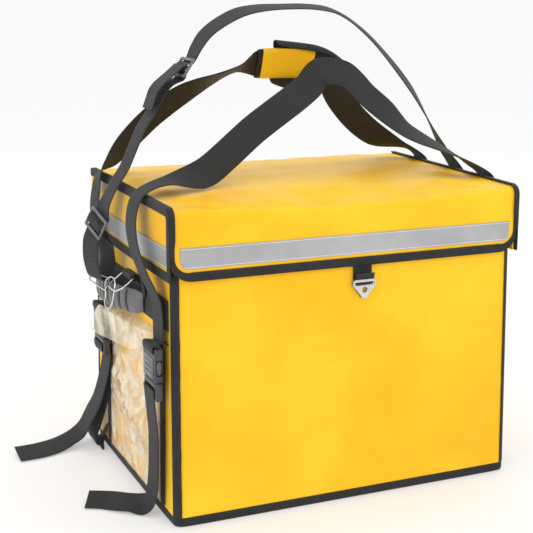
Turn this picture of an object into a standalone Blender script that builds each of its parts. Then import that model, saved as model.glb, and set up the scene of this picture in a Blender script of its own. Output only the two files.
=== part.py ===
"""Insulated delivery bag with carry handles, a shoulder strap and a clear side pocket.

Metres, +Z up. +X runs along the long front, the front faces -Y, and the bag
stands on z = 0 with the origin under the middle of its body.
"""
import bmesh
import bpy
from collections import namedtuple
from math import cos, pi, radians, sin, sqrt
from mathutils import Matrix, Vector

# Body
BODY_WIDTH = 0.470
BODY_DEPTH = 0.335
BODY_HEIGHT = 0.372
BODY_WALL = 0.010
CORNER_RADIUS = 0.012
FRONT_LEAN = 0.0150
BACK_LEAN = 0.0070
SIDE_LEAN = 0.0030
FRONT_SWELL = 0.0030

# Lid
LID_RISE = 0.014
LID_WALL = 0.0030
LID_BACK_DROP = 0.034
LID_CLEAR = 0.0012
LID_SKIRT = 0.084
LID_CROWN = 0.0050
LID_FRONT_SAG = 0.0075
LID_NOSE = 0.010
FLAP_WALL = 0.0022
FLAP_CORNER = 0.026
FLAP_SWELL = 0.0030

# Tapes and webbing
GAP = 0.0003
TAPE_WALL = 0.0012
TAPE_WIDTH = 0.0115
PIPING_WIDTH = 0.0060
CORNER_TAPE_SHORT = 0.004
CORNER_TAPE_FLAT = 0.0010
REFLECTOR_WIDTH = 0.025
REFLECTOR_WALL = 0.0006
REFLECTOR_ABOVE_HEM = 0.0035
REFLECTOR_INSET = 0.004
WEB_WIDTH = 0.038
WEB_WALL = 0.0016
HANDLE_RISE = 0.160
STAND_OFF = 0.030

# Pull tab on the lid's front
TAB_X = 0.013
TAB_WIDTH = 0.026
TAB_DROP = 0.022
TAB_DEPTH = 0.0090
PLATE_WALL = 0.0012
PLATE_WIDTH = 0.031
PLATE_HEIGHT = 0.024
PLATE_HOLE = 0.0075
PLATE_SLOT = 0.0042

# Side band and grip
BAND_HEIGHT = 0.037
BAND_WALL = 0.0018
GRIP_LENGTH = 0.186
GRIP_MIDDLE_Y = 0.034
GRIP_HEIGHT = 0.031
GRIP_WALL = 0.0075
GRIP_REACH = 0.0198
GRIP_END = 0.35
GRIP_DROP = 0.012
GRIP_SLITS = 9
GRIP_SLIT_WIDTH = 0.0036
GRIP_SLIT_HEIGHT = 0.019
GRIP_SLIT_DEPTH = 0.0030

# Clear pocket on the left side
POCKET_TAPE = 0.016
POCKET_MOUTH_DROP = 0.004
FILM_WALL = 0.0008
FILM_SWELL = 0.0070
FLAP_DROP = 0.052

# Side release buckles
BUCKLE_WIDTH = 0.047
BUCKLE_WALL = 0.0110
SOCKET_LENGTH = 0.043
PLUG_LENGTH = 0.023
BUCKLE_SEAT = 0.0078
WINDOW_LENGTH = 0.019
WINDOW_ABOVE = 0.009
BUCKLE_SHELL = 0.0018
BUCKLE_BAR = 0.0040
BUCKLE_SLOT = 0.0048
PLUG_INSET = 0.0008
LADDER_BAR = 0.0038
LADDER_SLOT = 0.0044
FLAP_STAND = BUCKLE_SEAT + BUCKLE_WALL + WEB_WALL + 2 * GAP

# Rings and hook, placed about one point beside the band
WIRE_RADIUS = 0.0014
RING_SPAN = 0.040
RING_OUT = 0.0331
RING_Y = -0.010
RING_ABOVE_BAND = 0.004
RING_TAB_WIDTH = 0.036

# Strap sliders
GLIDE_WIDTH = 0.046
GLIDE_HEIGHT = 0.027
GLIDE_WALL = 0.0034
GLIDE_BAR = 0.0040
GLIDE_SLOT = 0.0065
LOWER_GLIDE_OUT = 0.0311
LOWER_GLIDE_Y = 0.035
LOWER_GLIDE_TURN = -14
UPPER_GLIDE_ACROSS = -0.652596032
UPPER_GLIDE_Y = 0.020
UPPER_GLIDE_UP = 0.92
UPPER_GLIDE_LEAN = 56

# Sleeve on the back handle
SLEEVE_WALL = 0.0015
SLEEVE_ROOM = 0.0006
SLEEVE_PUFF = 0.0030
SLEEVE_LEFT = -0.028
SLEEVE_RIGHT = 0.048
BINDING_LENGTH = 0.0070
SLEEVE_FLAP_WALL = 0.0016

HALF_W = BODY_WIDTH / 2
HALF_D = BODY_DEPTH / 2
LID_TOP = BODY_HEIGHT + LID_RISE
LID_HEM = LID_TOP - LID_SKIRT

# Heights of the side fittings, as shares of the lid's top
BAND_MIDDLE = LID_TOP * 258 / 386
POCKET_TOP = LID_TOP * 214 / 386
FLAP_TOP = LID_TOP * 229 / 386
BUCKLE_FRONT_TOP = LID_TOP * 221 / 386
BUCKLE_BACK_TOP = LID_TOP * 214 / 386
LOWER_GLIDE_Z = LID_TOP * 338 / 386

# Depths of the side fittings, as shares of half the body's depth
POCKET_FRONT_Y = HALF_D * -1300 / 1675
POCKET_BACK_Y = HALF_D * 1110 / 1675
BUCKLE_FRONT_Y = HALF_D * -1240 / 1675
BUCKLE_BACK_Y = HALF_D * 940 / 1675
ALONG_X = Vector((1, 0, 0))
ALONG_Y = Vector((0, 1, 0))

COLOURS = {
    "tarpaulin": ((0.95, 0.55, 0.03), 0.35, 0.0),
    "webbing": ((0.03, 0.03, 0.032), 0.85, 0.0),
    "tape": ((0.022, 0.022, 0.024), 0.8, 0.0),
    "reflective": ((0.40, 0.40, 0.41), 0.45, 0.1),
    "moulded": ((0.07, 0.07, 0.075), 0.45, 0.0),
    "rubber": ((0.10, 0.10, 0.105), 0.6, 0.0),
    "chrome": ((0.80, 0.80, 0.82), 0.12, 1.0),
    "film": ((0.95, 0.95, 0.90), 0.1, 0.0),
}

Stop = namedtuple("Stop", "across deep up out turn")
Column = namedtuple("Column", "root tip drop lift")
Link = namedtuple("Link", "out deep up")


def material(kind):
    """The Principled material of one kind, made once."""
    found = bpy.data.materials.get(kind)
    if found:
        return found
    colour, roughness, metallic = COLOURS[kind]
    made = bpy.data.materials.new(kind)
    made.use_nodes = True
    shader = made.node_tree.nodes["Principled BSDF"]
    shader.inputs["Base Color"].default_value = (*colour, 1.0)
    shader.inputs["Roughness"].default_value = roughness
    shader.inputs["Metallic"].default_value = metallic
    made.diffuse_color = (*colour, 1.0)
    return made


def clear_scene():
    """Remove what a new file holds."""
    for item in list(bpy.data.objects):
        bpy.data.objects.remove(item, do_unlink=True)


def collection(name):
    """A collection linked to the scene."""
    made = bpy.data.collections.new(name)
    bpy.context.scene.collection.children.link(made)
    return made


def add_object(name, mesh, kind, group):
    """Link a mesh as a named piece of one material."""
    mesh.materials.append(material(kind))
    piece = bpy.data.objects.new(name, mesh)
    group.objects.link(piece)
    return piece


def finish_bmesh(name, bm, kind, group):
    """Turn a bmesh into a named piece with its faces pointing out."""
    bmesh.ops.recalc_face_normals(bm, faces=bm.faces)
    mesh = bpy.data.meshes.new(name)
    bm.to_mesh(mesh)
    bm.free()
    return add_object(name, mesh, kind, group)


def add_cutter(piece):
    """Move a piece to the cutters and hide it from the render."""
    piece.hide_render = True
    piece.display_type = "WIRE"
    return piece


def boolean(piece, cutter, operation="DIFFERENCE"):
    """Cut or join a piece with a cutter object."""
    cut = piece.modifiers.new(operation.lower(), "BOOLEAN")
    cut.operation = operation
    cut.object = cutter
    cut.solver = "EXACT"
    return cut


def loft(bm, sections, ring=False):
    """Skin a list of equal closed sections, with end faces unless it is a ring."""
    rows = [[bm.verts.new(point) for point in section] for section in sections]
    spans = len(rows) if ring else len(rows) - 1
    for index in range(spans):
        near = rows[index]
        far = rows[(index + 1) % len(rows)]
        for corner in range(len(near)):
            after = (corner + 1) % len(near)
            bm.faces.new((near[corner], near[after], far[after], far[corner]))
    if not ring:
        bm.faces.new(rows[0])
        bm.faces.new(rows[-1])


def sheet(name, rows, wall, kind, group, offset=-1.0):
    """A grid of points given thickness by Solidify, inwards from its faces."""
    bm = bmesh.new()
    grid = [[bm.verts.new(point) for point in row] for row in rows]
    for low, high in zip(grid, grid[1:]):
        for index in range(len(low) - 1):
            bm.faces.new((low[index], low[index + 1], high[index + 1], high[index]))
    mesh = bpy.data.meshes.new(name)
    bm.to_mesh(mesh)
    bm.free()
    piece = add_object(name, mesh, kind, group)
    solid = piece.modifiers.new("wall", "SOLIDIFY")
    solid.thickness = wall
    solid.offset = offset
    solid.use_even_offset = True
    return piece


def smooth(values, steps):
    """Points on a Catmull-Rom curve through a list of vectors."""
    count = len(values)
    made = []
    for index in range(count - 1):
        before = values[max(index - 1, 0)]
        start = values[index]
        end = values[index + 1]
        after = values[min(index + 2, count - 1)]
        for step in range(steps):
            t = step / steps
            made.append(
                0.5 * ((2 * start) + (end - before) * t
                       + (2 * before - 5 * start + 4 * end - after) * t * t
                       + (3 * start - before - 3 * end + after) * t ** 3))
    made.append(values[-1].copy())
    return made


def frames(points, turns, levels):
    """Each point of a run with its unit directions across and through the strap.

    The strap lies across its level direction, turned about its own run.
    """
    count = len(points)
    made = []
    for index, point in enumerate(points):
        ahead = points[min(index + 1, count - 1)] - points[max(index - 1, 0)]
        ahead.normalize()
        level = levels[index]
        flat = (level - ahead * level.dot(ahead)).normalized()
        normal = ahead.cross(flat)
        angle = radians(turns[index])
        wide = cos(angle) * flat + sin(angle) * normal
        made.append((point, wide, ahead.cross(wide).normalized()))
    return made


def web_sections(points, turns, levels, width, wall):
    """Rectangular sections of a strap along points."""
    made = []
    for point, wide, thick in frames(points, turns, levels):
        wide = wide * (width / 2)
        thick = thick * (wall / 2)
        made.append([point - wide - thick, point + wide - thick,
                     point + wide + thick, point - wide + thick])
    return made


def strap(name, stops, group, steps=2, width=WEB_WIDTH):
    """A flat strap through rows of (point, turn in degrees, level direction)."""
    path = [Vector((*point, turn, *level)) for point, turn, level in stops]
    if steps > 1:
        path = smooth(path, steps)
    points = [Vector(row[:3]) for row in path]
    turns = [row[3] for row in path]
    levels = [Vector(row[4:]) for row in path]
    bm = bmesh.new()
    loft(bm, web_sections(points, turns, levels, width, WEB_WALL))
    return finish_bmesh(name, bm, "webbing", group)


def wire(name, points, radius, group, closed=False):
    """A round wire along points, as a mesh with welded ends."""
    curve = bpy.data.curves.new(name, "CURVE")
    curve.dimensions = "3D"
    curve.bevel_depth = radius
    curve.bevel_resolution = 1
    curve.use_fill_caps = True
    spline = curve.splines.new("POLY")
    spline.points.add(len(points) - 1)
    for slot, point in zip(spline.points, points):
        slot.co = (*point, 1.0)
    spline.use_cyclic_u = closed
    guide = bpy.data.objects.new(name + "_curve", curve)
    group.objects.link(guide)
    bpy.context.view_layer.update()
    shape = bpy.data.meshes.new_from_object(
        guide.evaluated_get(bpy.context.evaluated_depsgraph_get()))
    bpy.data.objects.remove(guide, do_unlink=True)
    bm = bmesh.new()
    bm.from_mesh(shape)
    bmesh.ops.remove_doubles(bm, verts=bm.verts, dist=0.00001)
    bpy.data.meshes.remove(shape)
    return finish_bmesh(name, bm, "chrome", group)


def side_x(z):
    """Distance of the body's side face from the middle at a height."""
    return HALF_W - SIDE_LEAN * z / BODY_HEIGHT


def front_y(z):
    """Depth of the body's front face at a height, before its swell."""
    return -HALF_D + FRONT_LEAN * z / BODY_HEIGHT


def back_y(z):
    """Depth of the body's back face at a height."""
    return HALF_D - BACK_LEAN * z / BODY_HEIGHT


def swell(x, z, amount):
    """How far a filled panel stands proud of its flat face."""
    across = max(0.0, 1 - (x / (HALF_W - CORNER_RADIUS)) ** 2)
    height = max(0.0, 1 - (2 * z / BODY_HEIGHT - 1) ** 2)
    return amount * sqrt(across) * height


def body_ring(z, grow=0.0, turns=3, spans=6):
    """Closed outline of the body at a height, grown outwards by an amount."""
    half = side_x(z) + grow
    front = front_y(z) - grow
    back = back_y(z) + grow
    r = CORNER_RADIUS + grow
    corners = [(-half + r, front + r, pi), (half - r, front + r, 1.5 * pi),
               (half - r, back - r, 0.0), (-half + r, back - r, 0.5 * pi)]
    points = []
    for index, (cx, cy, start) in enumerate(corners):
        for turn in range(turns + 1):
            angle = start + 0.5 * pi * turn / turns
            points.append(Vector((cx + r * cos(angle), cy + r * sin(angle), z)))
        nx, ny, nstart = corners[(index + 1) % 4]
        last = points[-1]
        first = Vector((nx + r * cos(nstart), ny + r * sin(nstart), z))
        if index % 2 == 0:
            for step in range(1, spans):
                point = last.lerp(first, step / spans)
                side = -1 if index == 0 else 1
                point.y += side * swell(point.x, z, FRONT_SWELL)
                points.append(point)
    return points


def make_body(group):
    """The padded box, open at the top under the lid."""
    shares = (0.0, 0.012, 0.15, 0.35, 0.6, 0.82, 1.0)
    foot = 0.003
    bm = bmesh.new()
    outer = []
    for share in shares:
        inset = -foot if share == 0.0 else 0.0
        outer.append(body_ring(share * BODY_HEIGHT, inset))
    inner = []
    for share in reversed(shares[2:]):
        inner.append(body_ring(share * BODY_HEIGHT, -BODY_WALL))
    inner.append(body_ring(BODY_WALL, -BODY_WALL))
    loft(bm, outer + inner)
    return finish_bmesh("body_shell", bm, "tarpaulin", group)


def make_bottom_tape(group):
    """The tape sewn round the bottom edge of the body."""
    grow = GAP + TAPE_WALL
    heights = (0.0, 0.0020, TAPE_WIDTH - 0.0015, TAPE_WIDTH)
    bm = bmesh.new()
    profile = [(GAP, heights[0]), (grow, heights[1]), (grow, heights[2]),
               (grow - TAPE_WALL / 2, heights[3]), (GAP, heights[3])]
    rings = []
    for out, z in profile:
        rings.append(body_ring(z, out))
    sections = [list(points) for points in zip(*rings)]
    loft(bm, sections, ring=True)
    return finish_bmesh("bottom_tape", bm, "tape", group)


def corner_section(z, sx, sy, near, far):
    """The bent section of a corner tape at a height, between two offsets."""
    half = side_x(z)
    edge = front_y(z) if sy < 0 else back_y(z)
    r = CORNER_RADIUS
    cx = sx * (half - r)
    cy = edge - sy * r
    made = []
    for grow, order in ((far, 1), (near, -1)):
        arc = []
        arc.append(Vector((cx - sx * CORNER_TAPE_FLAT, cy + sy * (r + grow), z)))
        for turn in range(4):
            angle = 0.5 * pi * (1 - turn / 3)
            arc.append(Vector((cx + sx * (r + grow) * cos(angle),
                               cy + sy * (r + grow) * sin(angle), z)))
        arc.append(Vector((cx + sx * (r + grow), cy - sy * CORNER_TAPE_FLAT, z)))
        made += arc[::order]
    return made


def make_corner_tapes(group):
    """The four upright tapes over the body's corner seams."""
    names = {(-1, -1): "corner_tape_front_left", (1, -1): "corner_tape_front_right",
             (-1, 1): "corner_tape_back_left", (1, 1): "corner_tape_back_right"}
    low = TAPE_WIDTH + GAP
    high = BODY_HEIGHT - CORNER_TAPE_SHORT
    for (sx, sy), name in names.items():
        bm = bmesh.new()
        sections = []
        for step in range(6):
            z = low + (high - low) * step / 5
            sections.append(corner_section(z, sx, sy, GAP, GAP + TAPE_WALL))
        loft(bm, sections)
        finish_bmesh(name, bm, "tape", group)


LID_HALF_W = side_x(BODY_HEIGHT) + GAP + TAPE_WALL + LID_CLEAR + FLAP_WALL
LID_FRONT = front_y(LID_HEM) - GAP - TAPE_WALL - LID_CLEAR - LID_WALL
LID_BACK_HEM = LID_TOP - LID_BACK_DROP
LID_BACK = back_y(LID_BACK_HEM) + 2 * GAP + TAPE_WALL + LID_CLEAR / 2 + LID_WALL
LID_HALF_D = (LID_BACK - LID_FRONT) / 2


def lid_z(x, y):
    """Height of the lid's top surface, crowned in the middle and low along the front."""
    across = 1 - (x / LID_HALF_W) ** 2
    middle = (LID_FRONT + LID_BACK) / 2
    deep = 1 - ((y - middle) / LID_HALF_D) ** 2
    toward = max(0.0, (middle - y) / LID_HALF_D)
    sag = LID_FRONT_SAG * across * toward ** 2
    return LID_TOP + LID_CROWN * across * max(deep, 0.0) - sag


def hem_rise(x, radius=FLAP_CORNER):
    """How far the front flap's edge lifts where its lower corner is round."""
    inside = LID_HALF_W - GAP - abs(x)
    if inside >= radius:
        return 0.0
    return radius - sqrt(max(0.0, radius ** 2 - (radius - max(inside, 0.0)) ** 2))


def corner_cut(z, radius):
    """How far the space inside the hem tape narrows at a height by its round corner."""
    above = z - LID_HEM - TAPE_WIDTH
    if above >= radius:
        return 0.0
    return radius - sqrt(max(0.0, radius ** 2 - (radius - max(above, 0.0)) ** 2))


def lid_stations():
    """Places across the lid, close together over the round flap corners."""
    half = LID_HALF_W - GAP
    ends = [half - FLAP_CORNER * (1 - cos(0.5 * pi * k / 4)) for k in range(5)]
    middle = [half - FLAP_CORNER - (half - FLAP_CORNER) * 2 * k / 8 for k in range(1, 8)]
    return [-v for v in ends] + [-v for v in middle] + [v for v in reversed(ends)]


def front_face_y(z):
    """Depth of the front flap's outer face at a height."""
    return LID_FRONT + (z - LID_HEM) * FRONT_LEAN / BODY_HEIGHT * 0.6


def make_lid_panel(group):
    """Top and front flap in one padded sheet, folded over the front edge."""
    depths = (0.0, 0.16, 0.42, 0.66, 0.85, 1.0)
    falls = (0.30, 0.62, 1.0)
    far = LID_BACK - LID_NOSE / 2
    rows = []
    for x in lid_stations():
        row = [Vector((x, LID_BACK, LID_BACK_HEM)), Vector((x, LID_BACK, LID_TOP - LID_NOSE / 2)),
               Vector((x, LID_BACK - LID_NOSE * 0.15, LID_TOP - LID_NOSE * 0.15))]
        for share in depths:
            y = far + (LID_FRONT + LID_NOSE - far) * share
            row.append(Vector((x, y, lid_z(x, y))))
        edge = lid_z(x, LID_FRONT + LID_NOSE)
        for turn in (35, 65):
            angle = radians(turn)
            y = front_face_y(edge) + LID_NOSE * (1 - sin(angle))
            row.append(Vector((x, y, edge - LID_NOSE * (1 - cos(angle)))))
        shoulder = edge - LID_NOSE
        low = LID_HEM + hem_rise(x)
        row.append(Vector((x, front_face_y(shoulder), shoulder)))
        for share in falls:
            z = shoulder + (low - shoulder) * share
            row.append(Vector((x, front_face_y(z), z)))
        rows.append(row)
    return sheet("lid_panel", rows, LID_WALL, "tarpaulin", group)


def flap_x(y, z):
    """Distance of a side flap's outer face from the middle."""
    along = max(0.0, 1 - ((y - (LID_FRONT + LID_BACK) / 2) / LID_HALF_D) ** 2)
    share = (LID_TOP - z) / LID_SKIRT
    return LID_HALF_W + FLAP_SWELL * along * sin(pi * min(share, 1.0) * 0.8)


FLAP_HIGH = LID_TOP - LID_WALL - 3 * GAP
FLAP_FRONT = LID_FRONT + LID_WALL + 7 * GAP
FLAP_BACK = LID_BACK - LID_WALL - GAP


def flap_high(y):
    """Height of a side flap's upper edge, round inside the folds of the lid panel."""
    room = LID_NOSE - LID_WALL
    ahead = front_face_y(LID_TOP) + LID_NOSE - y
    behind = y - (LID_BACK - LID_WALL - LID_NOSE / 2)
    if ahead > 0:
        arch = LID_TOP - LID_NOSE + sqrt(max(0.0, room ** 2 - ahead ** 2)) - 2 * GAP
        return min(FLAP_HIGH, arch)
    return FLAP_HIGH - max(0.0, behind) * 0.7


def make_side_flap(name, sx, group):
    """One side of the lid, a sheet that hangs over the body's side."""
    near = LID_NOSE - LID_WALL
    places = [FLAP_FRONT, FLAP_FRONT + near * 0.15, FLAP_FRONT + near * 0.5, FLAP_FRONT + near]
    far = FLAP_BACK - near
    places += [places[-1] + (far - places[-1]) * step / 6 for step in range(1, 7)]
    places += [FLAP_BACK - near * 0.4, FLAP_BACK]
    rows = []
    for y in places:
        row = []
        for fall in range(5):
            z = flap_high(y) + (LID_HEM - flap_high(y)) * fall / 4
            row.append(Vector((sx * flap_x(y, z), y, z)))
        rows.append(row if sx > 0 else row[::-1])
    return sheet(name, rows, FLAP_WALL, "tarpaulin", group)


def plate_on_side(name, sx, low, high, wall, kind, group, front, back):
    """A flat strip sewn on a side flap between two heights."""
    rows = []
    for step in range(9):
        y = front + (back - front) * step / 8
        row = []
        for z in (high, low):
            row.append(Vector((sx * (flap_x(y, z) + GAP + wall), y, z)))
        rows.append(row if sx > 0 else row[::-1])
    return sheet(name, rows, wall, kind, group)


def make_reflectors(group):
    """Three reflective bands round the lid, just above its hem."""
    low = LID_HEM + TAPE_WIDTH + REFLECTOR_ABOVE_HEM
    high = low + REFLECTOR_WIDTH
    rows = []
    for step in range(13):
        row = []
        for fall in range(5):
            z = high + (low - high) * fall / 4
            half = LID_HALF_W - 2 * GAP - TAPE_WIDTH - corner_cut(z, FLAP_CORNER - TAPE_WIDTH)
            row.append(Vector((half * (step / 6 - 1), front_face_y(z) - GAP - REFLECTOR_WALL, z)))
        rows.append(row)
    sheet("reflector_front", rows, REFLECTOR_WALL, "reflective", group)
    for sx, name in ((-1, "reflector_left"), (1, "reflector_right")):
        plate_on_side(name, sx, low, high, REFLECTOR_WALL, "reflective", group,
                      FLAP_FRONT + REFLECTOR_INSET, FLAP_BACK - REFLECTOR_INSET)


def make_front_hem(group):
    """Tape that runs down one lid corner, along the front hem and up the other."""
    half = LID_HALF_W - GAP - TAPE_WIDTH / 2
    radius = FLAP_CORNER - TAPE_WIDTH / 2
    floor = LID_HEM + TAPE_WIDTH / 2
    out = GAP + TAPE_WALL / 2
    top = LID_TOP - LID_NOSE
    path = []
    for z in (top, top - (top - floor - radius) * 0.5):
        path.append((-half, z))
    for turn in range(5):
        angle = 0.5 * pi * turn / 4
        path.append((-half + radius * (1 - cos(angle)), floor + radius * (1 - sin(angle))))
    for step in range(1, 8):
        path.append((-half + radius + 2 * (half - radius) * step / 8, floor))
    path += [(-x, z) for x, z in reversed(path[:7])]
    bm = bmesh.new()
    sections = []
    count = len(path)
    for index, (x, z) in enumerate(path):
        ax, az = path[max(index - 1, 0)]
        bx, bz = path[min(index + 1, count - 1)]
        ahead = Vector((bx - ax, 0, bz - az)).normalized()
        side = Vector((-ahead.z, 0, ahead.x)) * TAPE_WIDTH / 2
        section = []
        for sign, lift in ((-1, -0.5), (1, -0.5), (1, 0.5), (-1, 0.5)):
            px = x + sign * side.x
            pz = z + sign * side.z
            py = front_face_y(pz) - out - lift * TAPE_WALL
            section.append(Vector((px, py, pz)))
        sections.append(section)
    loft(bm, sections)
    return finish_bmesh("lid_front_hem", bm, "tape", group)


def make_side_trim(sx, side, group):
    """Hem tape and top piping of one side flap."""
    plate_on_side("lid_hem_" + side, sx, LID_HEM, LID_HEM + TAPE_WIDTH, TAPE_WALL, "tape",
                  group, FLAP_FRONT, FLAP_BACK)
    plate_on_side("lid_piping_" + side, sx, FLAP_HIGH - PIPING_WIDTH, FLAP_HIGH, TAPE_WALL,
                  "tape", group, FLAP_FRONT, FLAP_BACK)


def make_side_bands(group):
    """The web sewn across each side below the lid."""
    low = BAND_MIDDLE - BAND_HEIGHT / 2
    high = BAND_MIDDLE + BAND_HEIGHT / 2
    ends = TAPE_WIDTH + CORNER_RADIUS * 0.2
    for sx, name in ((-1, "side_band_left"), (1, "side_band_right")):
        rows = []
        for step in range(5):
            row = []
            for z in (high, low):
                front = front_y(z) + ends
                back = back_y(z) - ends
                y = front + (back - front) * step / 4
                row.append(Vector((sx * (side_x(z) + GAP + BAND_WALL), y, z)))
            rows.append(row if sx > 0 else row[::-1])
        sheet(name, rows, BAND_WALL, "webbing", group)


def grip_centre(share):
    """Middle of the grip's section at a share of its length, front to back."""
    y = GRIP_MIDDLE_Y + GRIP_LENGTH * (share - 0.5)
    z = BAND_MIDDLE - 0.004 - GRIP_DROP * share
    seat = side_x(z) + 2 * GAP + BAND_WALL + GRIP_WALL / 2 * GRIP_END
    bow = sin(pi * share) ** 0.7 if 0 < share < 1 else 0.0
    return Vector((-(seat + GRIP_REACH * bow), y, z))


def make_grip(group, cutters):
    """The moulded side grip, bowed off the band, with a row of slits."""
    stations = 14
    sections = []
    for index in range(stations + 1):
        share = index / stations
        ahead = (grip_centre(min(share + 0.02, 1)) - grip_centre(max(share - 0.02, 0)))
        ahead.normalize()
        up = Vector((0, 0, 1))
        out = ahead.cross(up).normalized()
        up = out.cross(ahead)
        thin = GRIP_END if index in (0, stations) else 1.0
        half_h = GRIP_HEIGHT / 2 * (0.82 if thin < 1 else 1.0)
        half_t = GRIP_WALL / 2 * thin
        centre = grip_centre(share)
        section = []
        for a, b in ((-1, 0.45), (-0.72, 1), (0.72, 1), (1, 0.45),
                     (1, -0.45), (0.72, -1), (-0.72, -1), (-1, -0.45)):
            section.append(centre + up * half_h * a + out * half_t * b)
        sections.append(section)
    bm = bmesh.new()
    loft(bm, sections)
    grip = finish_bmesh("side_grip", bm, "rubber", group)
    bm = bmesh.new()
    for slit in range(GRIP_SLITS):
        share = 0.14 + 0.72 * slit / (GRIP_SLITS - 1)
        place = grip_centre(share)
        ahead = (grip_centre(share + 0.02) - grip_centre(share - 0.02)).normalized()
        up = Vector((0, 0, 1))
        out = ahead.cross(up).normalized()
        up = out.cross(ahead)
        outward = out if out.x < 0 else -out
        turn = Matrix((ahead, up, outward)).transposed().to_4x4()
        shift = Matrix.Translation(place + outward * GRIP_WALL / 2)
        size = Matrix.Diagonal((GRIP_SLIT_WIDTH, GRIP_SLIT_HEIGHT, 2 * GRIP_SLIT_DEPTH, 1))
        bmesh.ops.create_cube(bm, size=1.0, matrix=shift @ turn @ size)
    cutter = add_cutter(finish_bmesh("grip_slits_cutter", bm, "rubber", cutters))
    boolean(grip, cutter)
    return grip


def make_pocket(group):
    """Clear film pocket with an upright tape on each side."""
    low = TAPE_WIDTH + GAP
    for name, front, back in (
            ("pocket_tape_front", POCKET_FRONT_Y, POCKET_FRONT_Y + POCKET_TAPE),
            ("pocket_tape_back", POCKET_BACK_Y - POCKET_TAPE, POCKET_BACK_Y)):
        rows = []
        for y in (front, (front + back) / 2, back):
            row = []
            for z in (POCKET_TOP, (POCKET_TOP + low) / 2, low):
                row.append(Vector((-(side_x(z) + GAP + TAPE_WALL), y, z)))
            rows.append(row[::-1])
        sheet(name, rows, TAPE_WALL, "tape", group)
    front = POCKET_FRONT_Y + POCKET_TAPE + GAP
    back = POCKET_BACK_Y - POCKET_TAPE - GAP
    mouth = POCKET_TOP - POCKET_MOUTH_DROP
    creases = ((0.0, 0.0), (0.12, 0.7), (0.27, 0.85), (0.42, 1.0), (0.55, 0.8),
               (0.70, 0.95), (0.85, 0.45), (1.0, 0.0))
    rows = []
    for share, lift in creases:
        y = front + (back - front) * share
        row = []
        for step in range(7):
            up = step / 6
            z = mouth - (mouth - low) * up
            full = sin(pi * (0.2 + 0.8 * up)) if up < 1 else 0.0
            out = FILM_SWELL * lift * max(full, 0.0)
            row.append(Vector((-(side_x(z) + GAP + FILM_WALL + out), y, z)))
        rows.append(row[::-1])
    sheet("pocket_film", rows, FILM_WALL, "film", group)


def make_pocket_flap(group):
    """Loose clear flap, sewn over the pocket's mouth, its free corner over the back buckle."""
    rows = []
    for column in POCKET_FLAP:
        row = []
        for step in range(6):
            fall = step / 5
            y = (column.root + (column.tip - column.root) * fall) * HALF_D
            z = FLAP_TOP - FLAP_DROP * column.drop * fall
            out = FLAP_STAND * column.lift * sin(0.5 * pi * min(fall * 4.5, 1))
            row.append(Vector((-(side_x(z) + 2 * GAP + FILM_WALL + out), y, z)))
        rows.append(row[::-1])
    return sheet("pocket_flap", rows, FILM_WALL, "film", group)


def box(bm, low, high):
    """Add a box between two corners."""
    low = Vector(low)
    high = Vector(high)
    size = high - low
    place = Matrix.Translation((low + high) / 2) @ Matrix.Diagonal((*size, 1))
    return bmesh.ops.create_cube(bm, size=1.0, matrix=place)["verts"]


def buckle_faces(top):
    """Inner and outer face of a buckle whose top is at a height."""
    inner = -(side_x(top) + BUCKLE_SEAT)
    return inner, inner - BUCKLE_WALL


def plug_top(top):
    """Height of a plug's upper edge, just under its socket."""
    return top - SOCKET_LENGTH - GAP


def make_socket(name, y, top, group, cutters):
    """Upper half of a side release buckle, hollow, with side windows and a strap slot."""
    inner, outer = buckle_faces(top)
    half = BUCKLE_WIDTH / 2
    split = top - SOCKET_LENGTH
    bm = bmesh.new()
    box(bm, (outer, y - half, split), (inner, y + half, top))
    socket = finish_bmesh(name, bm, "moulded", group)
    round_edges(socket, 0.0028)
    room = half - 2 * BUCKLE_SHELL
    bm = bmesh.new()
    box(bm, (outer + BUCKLE_SHELL, y - room, split - BUCKLE_WALL),
        (inner - BUCKLE_SHELL, y + room, top - BUCKLE_BAR - BUCKLE_SLOT - 2 * BUCKLE_SHELL))
    hollow = add_cutter(finish_bmesh(name + "_hollow_cutter", bm, "moulded", cutters))
    boolean(socket, hollow)
    window_low = split + WINDOW_ABOVE
    bm = bmesh.new()
    box(bm, (outer + BUCKLE_SHELL, y - BUCKLE_WIDTH, window_low),
        (inner - BUCKLE_SHELL, y + BUCKLE_WIDTH, window_low + WINDOW_LENGTH))
    windows = add_cutter(finish_bmesh(name + "_window_cutter", bm, "moulded", cutters))
    boolean(socket, windows)
    bm = bmesh.new()
    slot_half = WEB_WIDTH / 2 + 3 * GAP
    box(bm, (outer - BUCKLE_WALL, y - slot_half, top - BUCKLE_BAR - BUCKLE_SLOT),
        (inner + BUCKLE_WALL, y + slot_half, top - BUCKLE_BAR))
    slot = add_cutter(finish_bmesh(name + "_slot_cutter", bm, "moulded", cutters))
    boolean(socket, slot)
    return socket


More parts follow.
